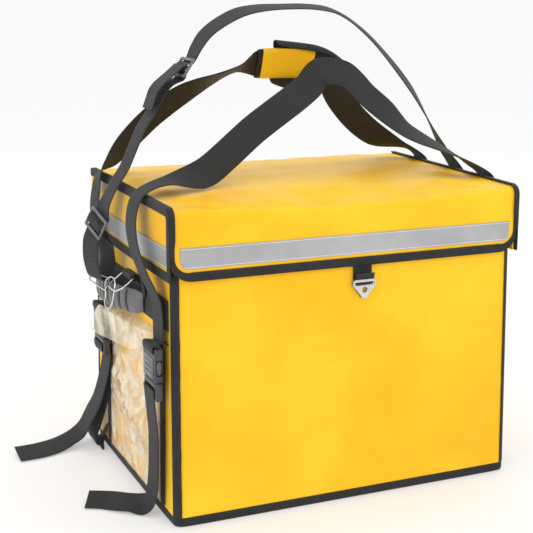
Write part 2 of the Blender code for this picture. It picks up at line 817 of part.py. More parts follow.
def make_plug(name, y, top, group, cutters):
    """Lower half of the buckle: two prongs up into the socket, a ladder for the strap."""
    inner, outer = buckle_faces(top)
    half = BUCKLE_WIDTH / 2
    window_low = top - SOCKET_LENGTH + WINDOW_ABOVE
    window_high = window_low + WINDOW_LENGTH
    base_top = plug_top(top)
    base_low = base_top - PLUG_LENGTH
    bm = bmesh.new()
    box(bm, (outer + PLUG_INSET, y - half + PLUG_INSET, base_low),
        (inner - PLUG_INSET, y + half - PLUG_INSET, base_top))
    plug = finish_bmesh(name, bm, "moulded", group)
    round_edges(plug, 0.0022)
    near = outer + BUCKLE_SHELL + 2 * GAP
    far = inner - BUCKLE_SHELL - 2 * GAP
    bm = bmesh.new()
    for side in (-1, 1):
        stem = sorted((y + side * (half - 2 * BUCKLE_SHELL - 2 * GAP), y + side * half * 0.5))
        box(bm, (near, stem[0], base_top - LADDER_BAR), (far, stem[1], window_high - 4 * GAP))
        press = sorted((y + side * (half - 2 * GAP), y + side * half * 0.6))
        box(bm, (near, press[0], window_low + 4 * GAP), (far, press[1], window_high - 4 * GAP))
    prongs = add_cutter(finish_bmesh(name + "_prong_cutter", bm, "moulded", cutters))
    merge = boolean(plug, prongs, "UNION")
    merge.use_self = True
    bm = bmesh.new()
    slot_half = WEB_WIDTH / 2 + 3 * GAP
    for step in range(2):
        low = base_low + LADDER_BAR + step * (LADDER_SLOT + LADDER_BAR)
        box(bm, (outer - BUCKLE_WALL, y - slot_half, low),
            (inner + BUCKLE_WALL, y + slot_half, low + LADDER_SLOT))
    slots = add_cutter(finish_bmesh(name + "_ladder_cutter", bm, "moulded", cutters))
    boolean(plug, slots)
    return plug


def round_edges(piece, width, segments=2):
    """Round a piece's edges with a bevel."""
    bevel = piece.modifiers.new("round", "BEVEL")
    bevel.width = width
    bevel.segments = segments
    bevel.limit_method = "ANGLE"
    bevel.angle_limit = radians(40)
    return bevel


def make_pull_tab(group, cutters):
    """Webbing loop under the front hem, and the folded plate that hangs in it."""
    face = front_y(LID_HEM) - FRONT_SWELL - GAP - WEB_WALL / 2
    near = face - TAB_DEPTH
    high = LID_HEM - GAP
    low = high - TAB_DROP
    radius = TAB_DEPTH / 2
    stops = [((TAB_X, face, high), 0, ALONG_X), ((TAB_X, face, low + radius), 0, ALONG_X)]
    for turn in range(1, 6):
        angle = pi * turn / 6
        stops.append(((TAB_X, face - radius * (1 - cos(angle)), low + radius * (1 - sin(angle))),
                      0, ALONG_X))
    stops += [((TAB_X, near, low + radius), 0, ALONG_X), ((TAB_X, near, high), 0, ALONG_X)]
    strap("pull_tab", stops, group, steps=1, width=TAB_WIDTH)

    middle = (face + near) / 2
    gap_half = TAB_DEPTH / 2 - WEB_WALL / 2 - 0.0008
    bar_z = low + WEB_WALL / 2 + 0.0030
    top = bar_z + 0.0020
    bottom = top - PLATE_HEIGHT
    bm = bmesh.new()
    for y in (middle - gap_half + PLATE_WALL, middle + gap_half):
        sections = []
        for depth in (y - PLATE_WALL, y):
            section = []
            for x, z in plate_outline(top, bottom):
                section.append(Vector((TAB_X + x, depth, z)))
            sections.append(section)
        loft(bm, sections)
    fold_z = bottom + 0.0032
    box(bm, (TAB_X - 0.0045, middle - gap_half + 0.0002, bottom + 0.0005),
        (TAB_X + 0.0045, middle + gap_half - 0.0002, fold_z - 0.0012))
    blank = add_cutter(finish_bmesh("pull_plate_cutter", bm, "chrome", cutters))
    bm = bmesh.new()
    box(bm, (TAB_X - 0.003, middle - gap_half + 0.0004, bottom + 0.0008),
        (TAB_X + 0.003, middle + gap_half - 0.0004, fold_z - 0.0014))
    plate = finish_bmesh("pull_plate", bm, "chrome", group)
    merge = boolean(plate, blank, "UNION")
    merge.use_self = True
    bm = bmesh.new()
    slot_low = bar_z - 0.0012 - PLATE_SLOT
    box(bm, (TAB_X - TAB_WIDTH / 2 - 0.0004, middle - 0.02, slot_low),
        (TAB_X + TAB_WIDTH / 2 + 0.0004, middle + 0.02, bar_z - 0.0012))
    bmesh.ops.create_cone(
        bm, cap_ends=True, segments=16, radius1=PLATE_HOLE / 2, radius2=PLATE_HOLE / 2, depth=0.04,
        matrix=Matrix.Translation((TAB_X, middle, slot_low - 0.0018 - PLATE_HOLE / 2))
        @ Matrix.Rotation(pi / 2, 4, "X"))
    holes = add_cutter(finish_bmesh("pull_plate_holes_cutter", bm, "chrome", cutters))
    boolean(plate, holes)
    return plate


def plate_outline(top, bottom):
    """Rounded triangle, point down, of the pull plate."""
    half = PLATE_WIDTH / 2
    shoulder = top - 0.0075
    points = [(-half + 0.002, top), (half - 0.002, top), (half, top - 0.002),
              (half, shoulder)]
    tip = 0.0045
    for turn in range(5):
        angle = radians(-35 - 27.5 * turn)
        points.append((tip * cos(angle), bottom + tip + tip * sin(angle)))
    points += [(-half, shoulder), (-half, top - 0.002)]
    return points


def over(across, deep, up):
    """A place over the lid, as shares of its half width, half depth and the handles' rise."""
    return Vector((across * LID_HALF_W, deep * LID_HALF_D, LID_TOP + up * HANDLE_RISE))


def beside(sx, deep, up, out):
    """A place beside the bag, as shares of half depth, bag height and the stand-off."""
    return Vector((sx * (LID_HALF_W + out * STAND_OFF), deep * HALF_D, up * LID_TOP))


def route(rows, level=ALONG_Y):
    """Points, turns and one level direction from a table of stops."""
    made = []
    for stop in rows:
        if abs(stop.across) > 1:
            point = beside(-1 if stop.across < 0 else 1, stop.deep, stop.up, stop.out)
        else:
            point = over(stop.across, stop.deep, stop.up)
        made.append((point, stop.turn, level))
    return made


def by_ring(link):
    """A place near the rings, as shares of their span about one point."""
    return Vector((-(LID_HALF_W + RING_OUT + link.out * RING_SPAN),
                   RING_Y + link.deep * RING_SPAN,
                   BAND_MIDDLE + RING_ABOVE_BAND + link.up * RING_SPAN))


def socket_turn(y, top):
    """Stops of a handle's end, sewn back on itself round the bar of its socket."""
    inner, outer = buckle_faces(top)
    lie = WEB_WALL / 2 + GAP
    slot = top - BUCKLE_BAR - BUCKLE_SLOT / 2
    rows = [(inner - lie * 2.2, top + lie * 5), (inner - lie * 3.2, top + lie * 2.6),
            (outer + lie, top + lie * 1.25), (outer - lie, top - lie * 0.4),
            (outer - lie * 1.1, slot + lie * 1.2), (outer + lie * 0.6, slot),
            (inner - lie * 0.6, slot), (inner + lie * 1.1, slot + lie * 1.2),
            (inner + lie * 1.1, top + lie), (inner + lie * 1.2, top + lie * 6)]
    return [(Vector((x, y, z)), 0, ALONG_Y) for x, z in rows]


def ladder_turn(y, top, outside):
    """Stops of a lower strap round the ladder's middle bar, from its sewn strand to its tail."""
    inner, outer = buckle_faces(top)
    inner -= PLUG_INSET
    outer += PLUG_INSET
    lie = WEB_WALL / 2 + GAP
    low = plug_top(top) - PLUG_LENGTH
    under = low + LADDER_BAR + LADDER_SLOT / 2
    above = under + LADDER_SLOT + LADDER_BAR
    face, away, back = (outer, -1, inner + lie) if outside else (inner, 1, outer - lie)
    tail = face + away * lie
    load = tail + away * (WEB_WALL + GAP)
    rows = [(load, low - lie * 3), (load, low + lie * 2), (load, above - lie * 1.6),
            (load - away * lie * 0.7, above - lie * 0.1), (face - away * lie, above),
            (back + away * lie, above), (back, above - lie), (back, under + lie),
            (back + away * lie, under), (face - away * lie, under),
            (tail, under - lie), (tail, low + lie), (tail, low - lie * 3)]
    return [(Vector((x, y, z)), 0, ALONG_Y) for x, z in rows]


def glide_turn(centre, run, wide):
    """Stops of a strap through a slider: behind both outer bars, over the middle one."""
    lie = GLIDE_WALL / 2 + WEB_WALL / 2 + 2 * GAP
    out = run.cross(wide)
    slot_middle = GLIDE_BAR * 0.75 + GLIDE_SLOT / 2
    made = []
    for along, deep in ((-GLIDE_HEIGHT * 0.60, -1), (-slot_middle - lie, -1),
                        (-slot_middle - lie * 0.55, -0.55), (-slot_middle + lie * 0.55, 0.55),
                        (-slot_middle + lie, 1), (slot_middle - lie, 1),
                        (slot_middle - lie * 0.55, 0.55), (slot_middle + lie * 0.55, -0.55),
                        (slot_middle + lie, -1), (GLIDE_HEIGHT * 0.60, -1)):
        made.append((centre + run * along + out * deep * lie, 0, wide))
    return made


def make_glide(name, centre, run, wide, group, cutters):
    """A three bar slider for a strap."""
    out = wide.cross(run)
    place = Matrix.Translation(centre) @ Matrix((wide, run, out)).transposed().to_4x4()
    half = GLIDE_WIDTH / 2
    bm = bmesh.new()
    box(bm, (-half, -GLIDE_HEIGHT / 2, -GLIDE_WALL / 2), (half, GLIDE_HEIGHT / 2, GLIDE_WALL / 2))
    bmesh.ops.bevel(bm, geom=bm.edges[:], offset=0.0010, segments=1, affect="EDGES",
                    profile=0.5, material=-1)
    bmesh.ops.transform(bm, matrix=place, verts=bm.verts)
    glide = finish_bmesh(name, bm, "moulded", group)
    slot_half = WEB_WIDTH / 2 + 3 * GAP
    bm = bmesh.new()
    for side in (-1, 1):
        middle = side * (GLIDE_BAR * 0.75 + GLIDE_SLOT / 2)
        box(bm, (-slot_half, middle - GLIDE_SLOT / 2, -GLIDE_WALL),
            (slot_half, middle + GLIDE_SLOT / 2, GLIDE_WALL))
    bmesh.ops.transform(bm, matrix=place, verts=bm.verts)
    slots = add_cutter(finish_bmesh(name + "_slots_cutter", bm, "moulded", cutters))
    boolean(glide, slots)
    return glide


def rounded(points, share=0.22):
    """A closed run of points with each corner cut twice."""
    made = []
    count = len(points)
    for index, point in enumerate(points):
        before = points[index - 1]
        after = points[(index + 1) % count]
        made.append(point.lerp(before, share))
        made.append(point.lerp(before, share / 4).lerp(point.lerp(after, share / 4), 0.5))
        made.append(point.lerp(after, share))
    return made


def make_rings(group):
    """The D ring in its webbing tab, the strap's ring and the snap hook that joins them."""
    wire("d_ring", rounded([by_ring(link) for link in D_RING]), WIRE_RADIUS, group, True)
    wire("strap_ring", rounded([by_ring(link) for link in STRAP_RING], 0.10), WIRE_RADIUS,
         group, True)
    wire("snap_hook", [by_ring(link) for link in SNAP_HOOK], WIRE_RADIUS, group, True)
    strap("ring_tab", [(by_ring(link), 0, ALONG_Y) for link in RING_TAB], group, width=RING_TAB_WIDTH)


def tube(bm, points, turns, half_w, half_t, wall):
    """An open flat tube along points, with chamfered corners."""
    rings = []
    for extra in (wall, 0.0):
        sections = []
        for point, wide, thick in frames(points, turns, [ALONG_Y] * len(points)):
            w = half_w + extra
            t = half_t + extra
            section = []
            for a, b in ((-1, 0.4), (-0.8, 1), (0.8, 1), (1, 0.4),
                         (1, -0.4), (0.8, -1), (-0.8, -1), (-1, -0.4)):
                section.append(point + wide * w * a + thick * t * b)
            sections.append(section)
        rings.append(sections)
    loft(bm, rings[0] + rings[1][::-1], ring=True)


def make_sleeve(group):
    """Padded wrap round the back handle, a binding at each end, a flap above and below."""
    path = smooth([Vector((*point, turn)) for point, turn, level in route(SLEEVE)], 4)
    spans = {"handle_wrap": (SLEEVE_LEFT, SLEEVE_RIGHT, "tarpaulin"),
             "wrap_binding_left": (SLEEVE_LEFT - BINDING_LENGTH, SLEEVE_LEFT - 3 * GAP, "tape"),
             "wrap_binding_right": (SLEEVE_RIGHT + 3 * GAP, SLEEVE_RIGHT + BINDING_LENGTH,
                                    "tape")}
    for name, (left, right, kind) in spans.items():
        count = 6 if name == "handle_wrap" else 2
        points = []
        turns = []
        for step in range(count + 1):
            x = left + (right - left) * step / count
            after = next(k for k in range(1, len(path)) if path[k].x >= x or k == len(path) - 1)
            share = (x - path[after - 1].x) / (path[after].x - path[after - 1].x)
            place = path[after - 1].lerp(path[after], share)
            points.append(Vector(place[:3]))
            turns.append(place[3])
        bm = bmesh.new()
        tube(bm, points, turns, WEB_WIDTH / 2 + SLEEVE_ROOM, SLEEVE_PUFF, SLEEVE_WALL)
        finish_bmesh(name, bm, kind, group)
    for name, table in (("wrap_flap_upper", WRAP_UPPER), ("wrap_flap_lower", WRAP_LOWER)):
        rows = []
        for across, profile in table:
            rows.append([over(across, deep, up) for deep, up in profile])
        sheet(name, rows, SLEEVE_FLAP_WALL, "webbing", group)


LEFT, RIGHT = -2, 2

FRONT_HANDLE = [
    Stop(LEFT, -0.737, 0.700, 0.150, 0), Stop(LEFT, -0.650, 0.770, 0.420, 0),
    Stop(LEFT, -0.530, 0.850, 0.640, 0), Stop(LEFT, -0.440, 0.930, 0.620, 0),
    Stop(LEFT, -0.390, 1.000, 0.300, 0),
    Stop(-0.960, -0.390, 0.080, 0, 0), Stop(-0.860, -0.400, 0.118, 0, 8),
    Stop(-0.740, -0.390, 0.130, 0, 40), Stop(-0.620, -0.360, 0.185, 0, 68),
    Stop(-0.360, -0.270, 0.450, 0, 72), Stop(-0.110, -0.190, 0.665, 0, 68),
    Stop(0.010, -0.130, 0.770, 0, 60), Stop(0.085, -0.120, 0.880, 0, 60),
    Stop(0.230, -0.150, 0.850, 0, 66), Stop(0.340, -0.200, 0.690, 0, 66),
    Stop(0.450, -0.260, 0.545, 0, 62), Stop(0.560, -0.310, 0.400, 0, 40),
    Stop(0.690, -0.350, 0.300, 0, 25), Stop(0.830, -0.390, 0.200, 0, 12),
    Stop(0.960, -0.420, 0.090, 0, 0),
    Stop(RIGHT, -0.430, 0.995, 0.330, 0), Stop(RIGHT, -0.500, 0.910, 0.420, 0),
    Stop(RIGHT, -0.620, 0.800, 0.330, 0), Stop(RIGHT, -0.700, 0.725, 0.130, 0),
    Stop(RIGHT, -0.720, 0.640, -0.010, 0), Stop(RIGHT, -0.720, 0.400, -0.055, 0),
    Stop(RIGHT, -0.720, 0.040, -0.030, 0),
]

SLEEVE = [
    Stop(-0.160, 0.397, 0.911, 0, -62), Stop(-0.118, 0.397, 0.913, 0, -70),
    Stop(-0.021, 0.397, 0.913, 0, -72), Stop(0.093, 0.397, 0.911, 0, -72),
    Stop(0.203, 0.397, 0.904, 0, -72), Stop(0.250, 0.397, 0.898, 0, -70),
]

BACK_HANDLE = [
    Stop(LEFT, 0.561, 0.612, 0.030, 0), Stop(LEFT, 0.563, 0.660, 0.030, 0),
    Stop(LEFT, 0.567, 0.710, 0.150, 0), Stop(LEFT, 0.580, 0.790, 0.400, 0),
    Stop(LEFT, 0.580, 0.880, 0.530, 0), Stop(LEFT, 0.580, 0.960, 0.420, 0),
    Stop(LEFT, 0.590, 1.012, 0.250, -10),
    Stop(-0.970, 0.590, 0.120, 0, -40), Stop(-0.880, 0.580, 0.270, 0, -62),
    Stop(-0.740, 0.540, 0.480, 0, -66), Stop(-0.570, 0.470, 0.670, 0, -58),
    Stop(-0.400, 0.420, 0.790, 0, -30), Stop(-0.250, 0.400, 0.878, 0, -22),
] + SLEEVE + [
    Stop(0.300, 0.400, 0.860, 0, -62), Stop(0.380, 0.420, 0.620, 0, -55),
    Stop(0.520, 0.450, 0.400, 0, -60), Stop(0.680, 0.500, 0.240, 0, -50),
    Stop(0.830, 0.550, 0.150, 0, -20), Stop(0.960, 0.580, 0.090, 0, 0),
    Stop(RIGHT, 0.590, 0.995, 0.330, 0), Stop(RIGHT, 0.600, 0.910, 0.330, 0),
    Stop(RIGHT, 0.610, 0.800, 0.250, 0), Stop(RIGHT, 0.610, 0.725, 0.130, 0),
    Stop(RIGHT, 0.600, 0.640, -0.010, 0), Stop(RIGHT, 0.600, 0.400, -0.055, 0),
    Stop(RIGHT, 0.600, 0.040, -0.030, 0),
]

STRAP_LOOP = [
    Stop(LEFT, 0.233, 0.846, 1.013, 0), Stop(LEFT, 0.227, 0.816, 0.837, 0),
    Stop(LEFT, 0.218, 0.767, 0.553, 0), Stop(LEFT, 0.216, 0.723, 0.587, 0),
    Stop(LEFT, 0.208, 0.6995, 0.770, 0), Stop(LEFT, 0.200, 0.6878, 0.953, 0),
    Stop(LEFT, 0.191, 0.6956, 1.143, 0), Stop(LEFT, 0.186, 0.7254, 1.277, 0),
    Stop(LEFT, 0.191, 0.7642, 1.343, 0), Stop(LEFT, 0.215, 0.8083, 1.277, 0),
]

SHOULDER = [
    Stop(LEFT, 0.154, 0.950, 0.660, 0), Stop(LEFT, 0.120, 1.010, 0.350, 0),
    Stop(-0.985, 0.115, 0.160, 0, 0), Stop(-0.897, 0.122, 0.437, 0, 0),
    Stop(-0.835, 0.122, 0.575, 0, 0), Stop(-0.794, 0.122, 0.691, 0, 0),
    Stop(-0.737, 0.122, 0.790, 0, 0),
]

SHOULDER_TOP = [
    Stop(-0.520, 0.122, 1.180, 0, 8), Stop(-0.320, 0.120, 1.345, 0, 12),
    Stop(-0.060, 0.120, 1.385, 0, 8), Stop(0.210, 0.120, 1.360, 0, 12),
    Stop(0.400, 0.110, 1.210, 0, 20), Stop(0.560, 0.090, 0.990, 0, 26),
    Stop(0.740, 0.070, 0.680, 0, 30), Stop(0.880, 0.050, 0.350, 0, 20),
    Stop(0.975, 0.040, 0.130, 0, 6),
    Stop(RIGHT, 0.030, 0.990, 0.400, 0), Stop(RIGHT, 0.030, 0.910, 0.450, 0),
    Stop(RIGHT, 0.030, 0.800, 0.330, 0), Stop(RIGHT, 0.030, 0.725, 0.130, 0),
    Stop(RIGHT, 0.030, 0.640, -0.010, 0),
]

SHOULDER_TAIL = [
    Stop(-0.671, 0.122, 0.939, 0, 0), Stop(-0.737, 0.122, 0.858, 0, 0),
    Stop(-0.792, 0.122, 0.794, 0, 0), Stop(-0.823, 0.122, 0.731, 0, 0),
    Stop(-0.842, 0.122, 0.669, 0, 0), Stop(-0.859, 0.122, 0.588, 0, 0),
]

ANCHOR_FRONT = [
    Stop(LEFT, -0.173, 0.024, 0.130, 0), Stop(LEFT, -0.221, 0.057, 0.270, 0),
    Stop(LEFT, -0.367, 0.117, 0.553, 0), Stop(LEFT, -0.555, 0.194, 0.903, 0),
    Stop(LEFT, -0.669, 0.254, 1.070, 0), Stop(LEFT, -0.716, 0.295, 1.037, 0),
    Stop(LEFT, -0.730, 0.345, 0.780, 0),
]

TAIL_FRONT = [
    Stop(LEFT, -0.731, 0.339, 0.403, 0), Stop(LEFT, -0.718, 0.285, 0.320, 0),
    Stop(LEFT, -0.719, 0.202, 0.310, 0), Stop(LEFT, -0.704, 0.117, 0.320, 0),
    Stop(LEFT, -0.675, 0.059, 0.380, 0), Stop(LEFT, -0.630, 0.0295, 0.570, -5),
    Stop(LEFT, -0.570, 0.0215, 0.860, -8), Stop(LEFT, -0.496, 0.0175, 1.337, -9),
    Stop(LEFT, -0.406, 0.0140, 1.853, -11), Stop(LEFT, -0.340, 0.0140, 2.570, -11),
]

ANCHOR_BACK = [
    Stop(LEFT, 0.800, 0.028, 0.120, 0), Stop(LEFT, 0.800, 0.014, 0.200, 0),
    Stop(LEFT, 0.800, 0.0075, 0.337, 0), Stop(LEFT, 0.805, 0.015, 0.480, 0),
    Stop(LEFT, 0.807, 0.038, 0.537, 4), Stop(LEFT, 0.790, 0.083, 0.487, 14),
    Stop(LEFT, 0.730, 0.155, 0.320, 16), Stop(LEFT, 0.655, 0.233, 0.170, 10),
    Stop(LEFT, 0.585, 0.311, 0.080, 0),
]

TAIL_BACK = [
    Stop(LEFT, 0.579, 0.324, 0.187, 0), Stop(LEFT, 0.603, 0.259, 0.337, 0),
    Stop(LEFT, 0.639, 0.189, 0.553, 0), Stop(LEFT, 0.710, 0.130, 0.793, 0),
    Stop(LEFT, 0.776, 0.069, 1.050, -4), Stop(LEFT, 0.824, 0.030, 1.520, -8),
    Stop(LEFT, 0.783, 0.0150, 2.317, -10), Stop(LEFT, 0.733, 0.0140, 3.227, -11),
    Stop(LEFT, 0.722, 0.0140, 4.180, -11),
]

POCKET_FLAP = [
    Column(-0.704, -0.680, 0.06, 0.10), Column(-0.507, -0.466, 0.42, 0.30),
    Column(-0.299, -0.239, 0.83, 0.45), Column(-0.090, 0.030, 0.90, 0.60),
    Column(0.119, 0.328, 0.98, 0.80), Column(0.269, 0.585, 1.07, 1.00),
    Column(0.394, 0.830, 1.13, 1.00),
]

D_RING = [
    Link(-0.5625, -1.175, 0.575), Link(-0.5625, -0.150, 0.575), Link(-0.200, -0.150, 0.300),
    Link(0.0, -0.325, 0.175), Link(0.0, -1.000, 0.175), Link(-0.200, -1.175, 0.300),
]

STRAP_RING = [
    Link(0.0075, 1.660, 0.1875), Link(-0.280, 0.475, 0.1875), Link(-0.025, 0.125, -0.075),
    Link(0.0575, 1.685, -0.075),
]

SNAP_HOOK = [
    Link(-0.1125, 0.375, -0.0075), Link(-0.080, 0.350, 0.200), Link(-0.1625, 0.0, 0.4125),
    Link(-0.1875, -0.350, 0.4375), Link(-0.1875, -0.475, 0.2875), Link(-0.1125, -0.525, 0.050),
    Link(-0.075, -0.575, -0.150), Link(-0.0125, -0.575, -0.400), Link(0.0125, -0.350, -0.575),
    Link(0.0125, 0.0, -0.5875), Link(-0.025, 0.250, -0.450), Link(-0.120, 0.3625, -0.250),
]

RING_TAB = [
    Link(-0.840, -0.6625, 0.2375), Link(-0.840, -0.6625, 0.425), Link(-0.7625, -0.6625, 0.605),
    Link(-0.6375, -0.6625, 0.665), Link(-0.545, -0.6625, 0.660), Link(-0.4825, -0.6625, 0.605),
    Link(-0.480, -0.6625, 0.5375), Link(-0.5375, -0.6625, 0.490), Link(-0.6375, -0.6625, 0.465),
    Link(-0.7375, -0.6625, 0.400), Link(-0.775, -0.6625, 0.3125),
]

WRAP_UPPER = [
    (-0.034, ((0.411, 0.999), (0.431, 1.044), (0.433, 1.091),
             (0.406, 1.112), (0.367, 1.103), (0.330, 1.069))),
    (0.084, ((0.411, 0.999), (0.431, 1.038), (0.431, 1.075),
             (0.403, 1.092), (0.357, 1.084), (0.315, 1.038))),
    (0.190, ((0.411, 0.997), (0.430, 1.031), (0.428, 1.059),
             (0.400, 1.075), (0.348, 1.067), (0.306, 1.019))),
    (0.287, ((0.414, 0.950), (0.428, 0.981), (0.425, 1.006),
             (0.397, 1.025), (0.339, 1.034), (0.296, 0.984))),
    (0.371, ((0.412, 0.850), (0.428, 0.881), (0.422, 0.906),
             (0.397, 0.925), (0.336, 0.950), (0.290, 0.925))),
]

WRAP_LOWER = [
    (-0.051, ((0.443, 0.786), (0.419, 0.766), (0.403, 0.750))),
    (0.042, ((0.443, 0.786), (0.370, 0.735), (0.287, 0.700))),
    (0.127, ((0.443, 0.784), (0.367, 0.729), (0.275, 0.691))),
    (0.211, ((0.443, 0.775), (0.373, 0.731), (0.299, 0.700))),
]


def make_handles(group):
    """The two carry handles, each sewn round the bar of its socket."""
    for name, table, y, top in (("handle_front", FRONT_HANDLE, BUCKLE_FRONT_Y, BUCKLE_FRONT_TOP),
                                ("handle_back", BACK_HANDLE, BUCKLE_BACK_Y, BUCKLE_BACK_TOP)):
        strap(name, socket_turn(y, top) + route(table), group)


def make_lower_straps(group):
    """Below each plug one strap: a strand sewn at the bottom and a tail on the floor."""
    ends = (("lower_strap_front", ANCHOR_FRONT, TAIL_FRONT, BUCKLE_FRONT_Y, BUCKLE_FRONT_TOP, True),
            ("lower_strap_back", ANCHOR_BACK, TAIL_BACK, BUCKLE_BACK_Y, BUCKLE_BACK_TOP, False))
    for name, anchor, tail, y, top, outside in ends:
        stops = route(anchor) + ladder_turn(y, top, outside) + route(tail)
        strap(name, stops, group)


def make_shoulder_strap(group, cutters):
    """The shoulder strap: its loop below the lower slider, the upper slider and a short tail."""
    turn = radians(LOWER_GLIDE_TURN)
    lower = Vector((-(LID_HALF_W + LOWER_GLIDE_OUT), LOWER_GLIDE_Y, LOWER_GLIDE_Z))
    run = (route(SHOULDER)[1][0] - lower).normalized()
    across = Vector((sin(turn), cos(turn), 0))
    wide = (across - run * across.dot(run)).normalized()
    make_glide("lower_slider", lower, run, wide, group, cutters)
    lean = radians(UPPER_GLIDE_LEAN)
    rise = Vector((cos(lean), 0, sin(lean)))
    upper = over(UPPER_GLIDE_ACROSS, 0, UPPER_GLIDE_UP)
    upper.y = UPPER_GLIDE_Y
    make_glide("upper_slider", upper, rise, ALONG_Y, group, cutters)
    stops = route(STRAP_LOOP, across)
    stops += glide_turn(lower, run, wide)
    stops += route(SHOULDER)
    stops += glide_turn(upper, rise, ALONG_Y)
    stops += route(SHOULDER_TOP)
    strap("shoulder_strap", stops, group)
    strap("shoulder_tail", route(SHOULDER_TAIL), group)


def build():
    """Make every piece of the bag."""
    clear_scene()
    group = collection("delivery_bag")
    cutters = collection("cutters")
    make_body(group)
    make_bottom_tape(group)
    make_corner_tapes(group)
    make_lid_panel(group)
    for sx, side in ((-1, "left"), (1, "right")):
        make_side_flap("lid_flap_" + side, sx, group)
        make_side_trim(sx, side, group)
    make_front_hem(group)
    make_reflectors(group)
    make_pull_tab(group, cutters)
    make_side_bands(group)
    make_grip(group, cutters)
    make_pocket(group)
    make_pocket_flap(group)
    for name, y, top in (("buckle_front", BUCKLE_FRONT_Y, BUCKLE_FRONT_TOP),
                         ("buckle_back", BUCKLE_BACK_Y, BUCKLE_BACK_TOP)):
        make_socket(name + "_socket", y, top, group, cutters)
        make_plug(name + "_plug", y, top, group, cutters)
    make_handles(group)
    make_sleeve(group)
    make_lower_straps(group)
    make_shoulder_strap(group, cutters)
    make_rings(group)


build()
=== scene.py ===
"""Looks for an insulated delivery bag: finishes, soft shapes, camera and light.

Metres, +Z up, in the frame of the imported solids. The front faces -Y and the
side with the pocket, the buckles and the rings faces -X.
"""

import logging
from dataclasses import dataclass, field
from enum import Enum
from math import cos, pi, radians, sin, sqrt
from typing import Any, Callable, Sequence

import bmesh
import bpy
from mathutils import Matrix, Vector, noise
from mathutils.kdtree import KDTree


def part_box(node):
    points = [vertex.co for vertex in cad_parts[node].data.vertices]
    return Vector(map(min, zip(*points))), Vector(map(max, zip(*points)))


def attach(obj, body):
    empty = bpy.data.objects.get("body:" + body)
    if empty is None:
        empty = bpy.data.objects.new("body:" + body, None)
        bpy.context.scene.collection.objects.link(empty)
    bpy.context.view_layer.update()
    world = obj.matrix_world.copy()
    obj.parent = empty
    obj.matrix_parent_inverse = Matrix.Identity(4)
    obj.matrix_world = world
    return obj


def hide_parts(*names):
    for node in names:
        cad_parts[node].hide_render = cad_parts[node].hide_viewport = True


LOG = logging.getLogger("delivery_bag")
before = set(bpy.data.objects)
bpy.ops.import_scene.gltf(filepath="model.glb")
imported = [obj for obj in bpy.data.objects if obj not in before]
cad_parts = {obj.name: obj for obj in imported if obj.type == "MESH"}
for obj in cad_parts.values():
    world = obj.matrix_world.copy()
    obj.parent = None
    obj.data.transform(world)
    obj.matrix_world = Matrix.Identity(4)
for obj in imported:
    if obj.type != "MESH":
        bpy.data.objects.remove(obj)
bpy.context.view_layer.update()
Point = tuple[float, float, float]
Colour = tuple[float, float, float]
Row = list[Vector]
WELD = 0.00001


class Along(Enum):
    """Which coordinate a woven pattern runs along."""

    MAP = "the piece's own map, in metres"
    X = "the object's X"
    Y = "the object's Y"
    Z = "the object's Z"


class Value:
    """A number socket that Python's operators join with Math nodes."""

    def __init__(self, sheet: "ShaderSheet", socket: Any) -> None:
        """Keep a socket of one shader sheet."""
        self.sheet = sheet
        self.socket = socket

    def _join(self, operation: str, first: Any, second: Any) -> "Value":
        """Add one Math node.

        Args:
            operation: The Math node's operation.
            first: A number or a Value.
            second: A number or a Value.
        Returns:
            The node's result.
        """
        made = self.sheet.node("ShaderNodeMath", {"operation": operation}, {0: first, 1: second})
        return Value(self.sheet, made.outputs[0])

    def __add__(self, other: Any) -> "Value":
        """Sum."""
        return self._join("ADD", self, other)

    def __radd__(self, other: Any) -> "Value":
        """Sum, reflected."""
        return self._join("ADD", other, self)

    def __sub__(self, other: Any) -> "Value":
        """Difference."""
        return self._join("SUBTRACT", self, other)

    def __rsub__(self, other: Any) -> "Value":
        """Difference, reflected."""
        return self._join("SUBTRACT", other, self)

    def __mul__(self, other: Any) -> "Value":
        """Product."""
        return self._join("MULTIPLY", self, other)

    def __rmul__(self, other: Any) -> "Value":
        """Product, reflected."""
        return self._join("MULTIPLY", other, self)

    def __lt__(self, other: Any) -> "Value":
        """One where this is less than the other."""
        return self._join("LESS_THAN", self, other)

    def __gt__(self, other: Any) -> "Value":
        """One where this is greater than the other."""
        return self._join("GREATER_THAN", self, other)

    def wave(self, pitch: float) -> "Value":
        """A sine wave of one pitch over the value."""
        return self._join("SINE", self * (2 * pi / pitch), 0.0)

    def size(self) -> "Value":
        """The value without its sign."""
        return self._join("ABSOLUTE", self, 0.0)

    def least(self, other: Any) -> "Value":
        """The smaller of two values."""
        return self._join("MINIMUM", self, other)


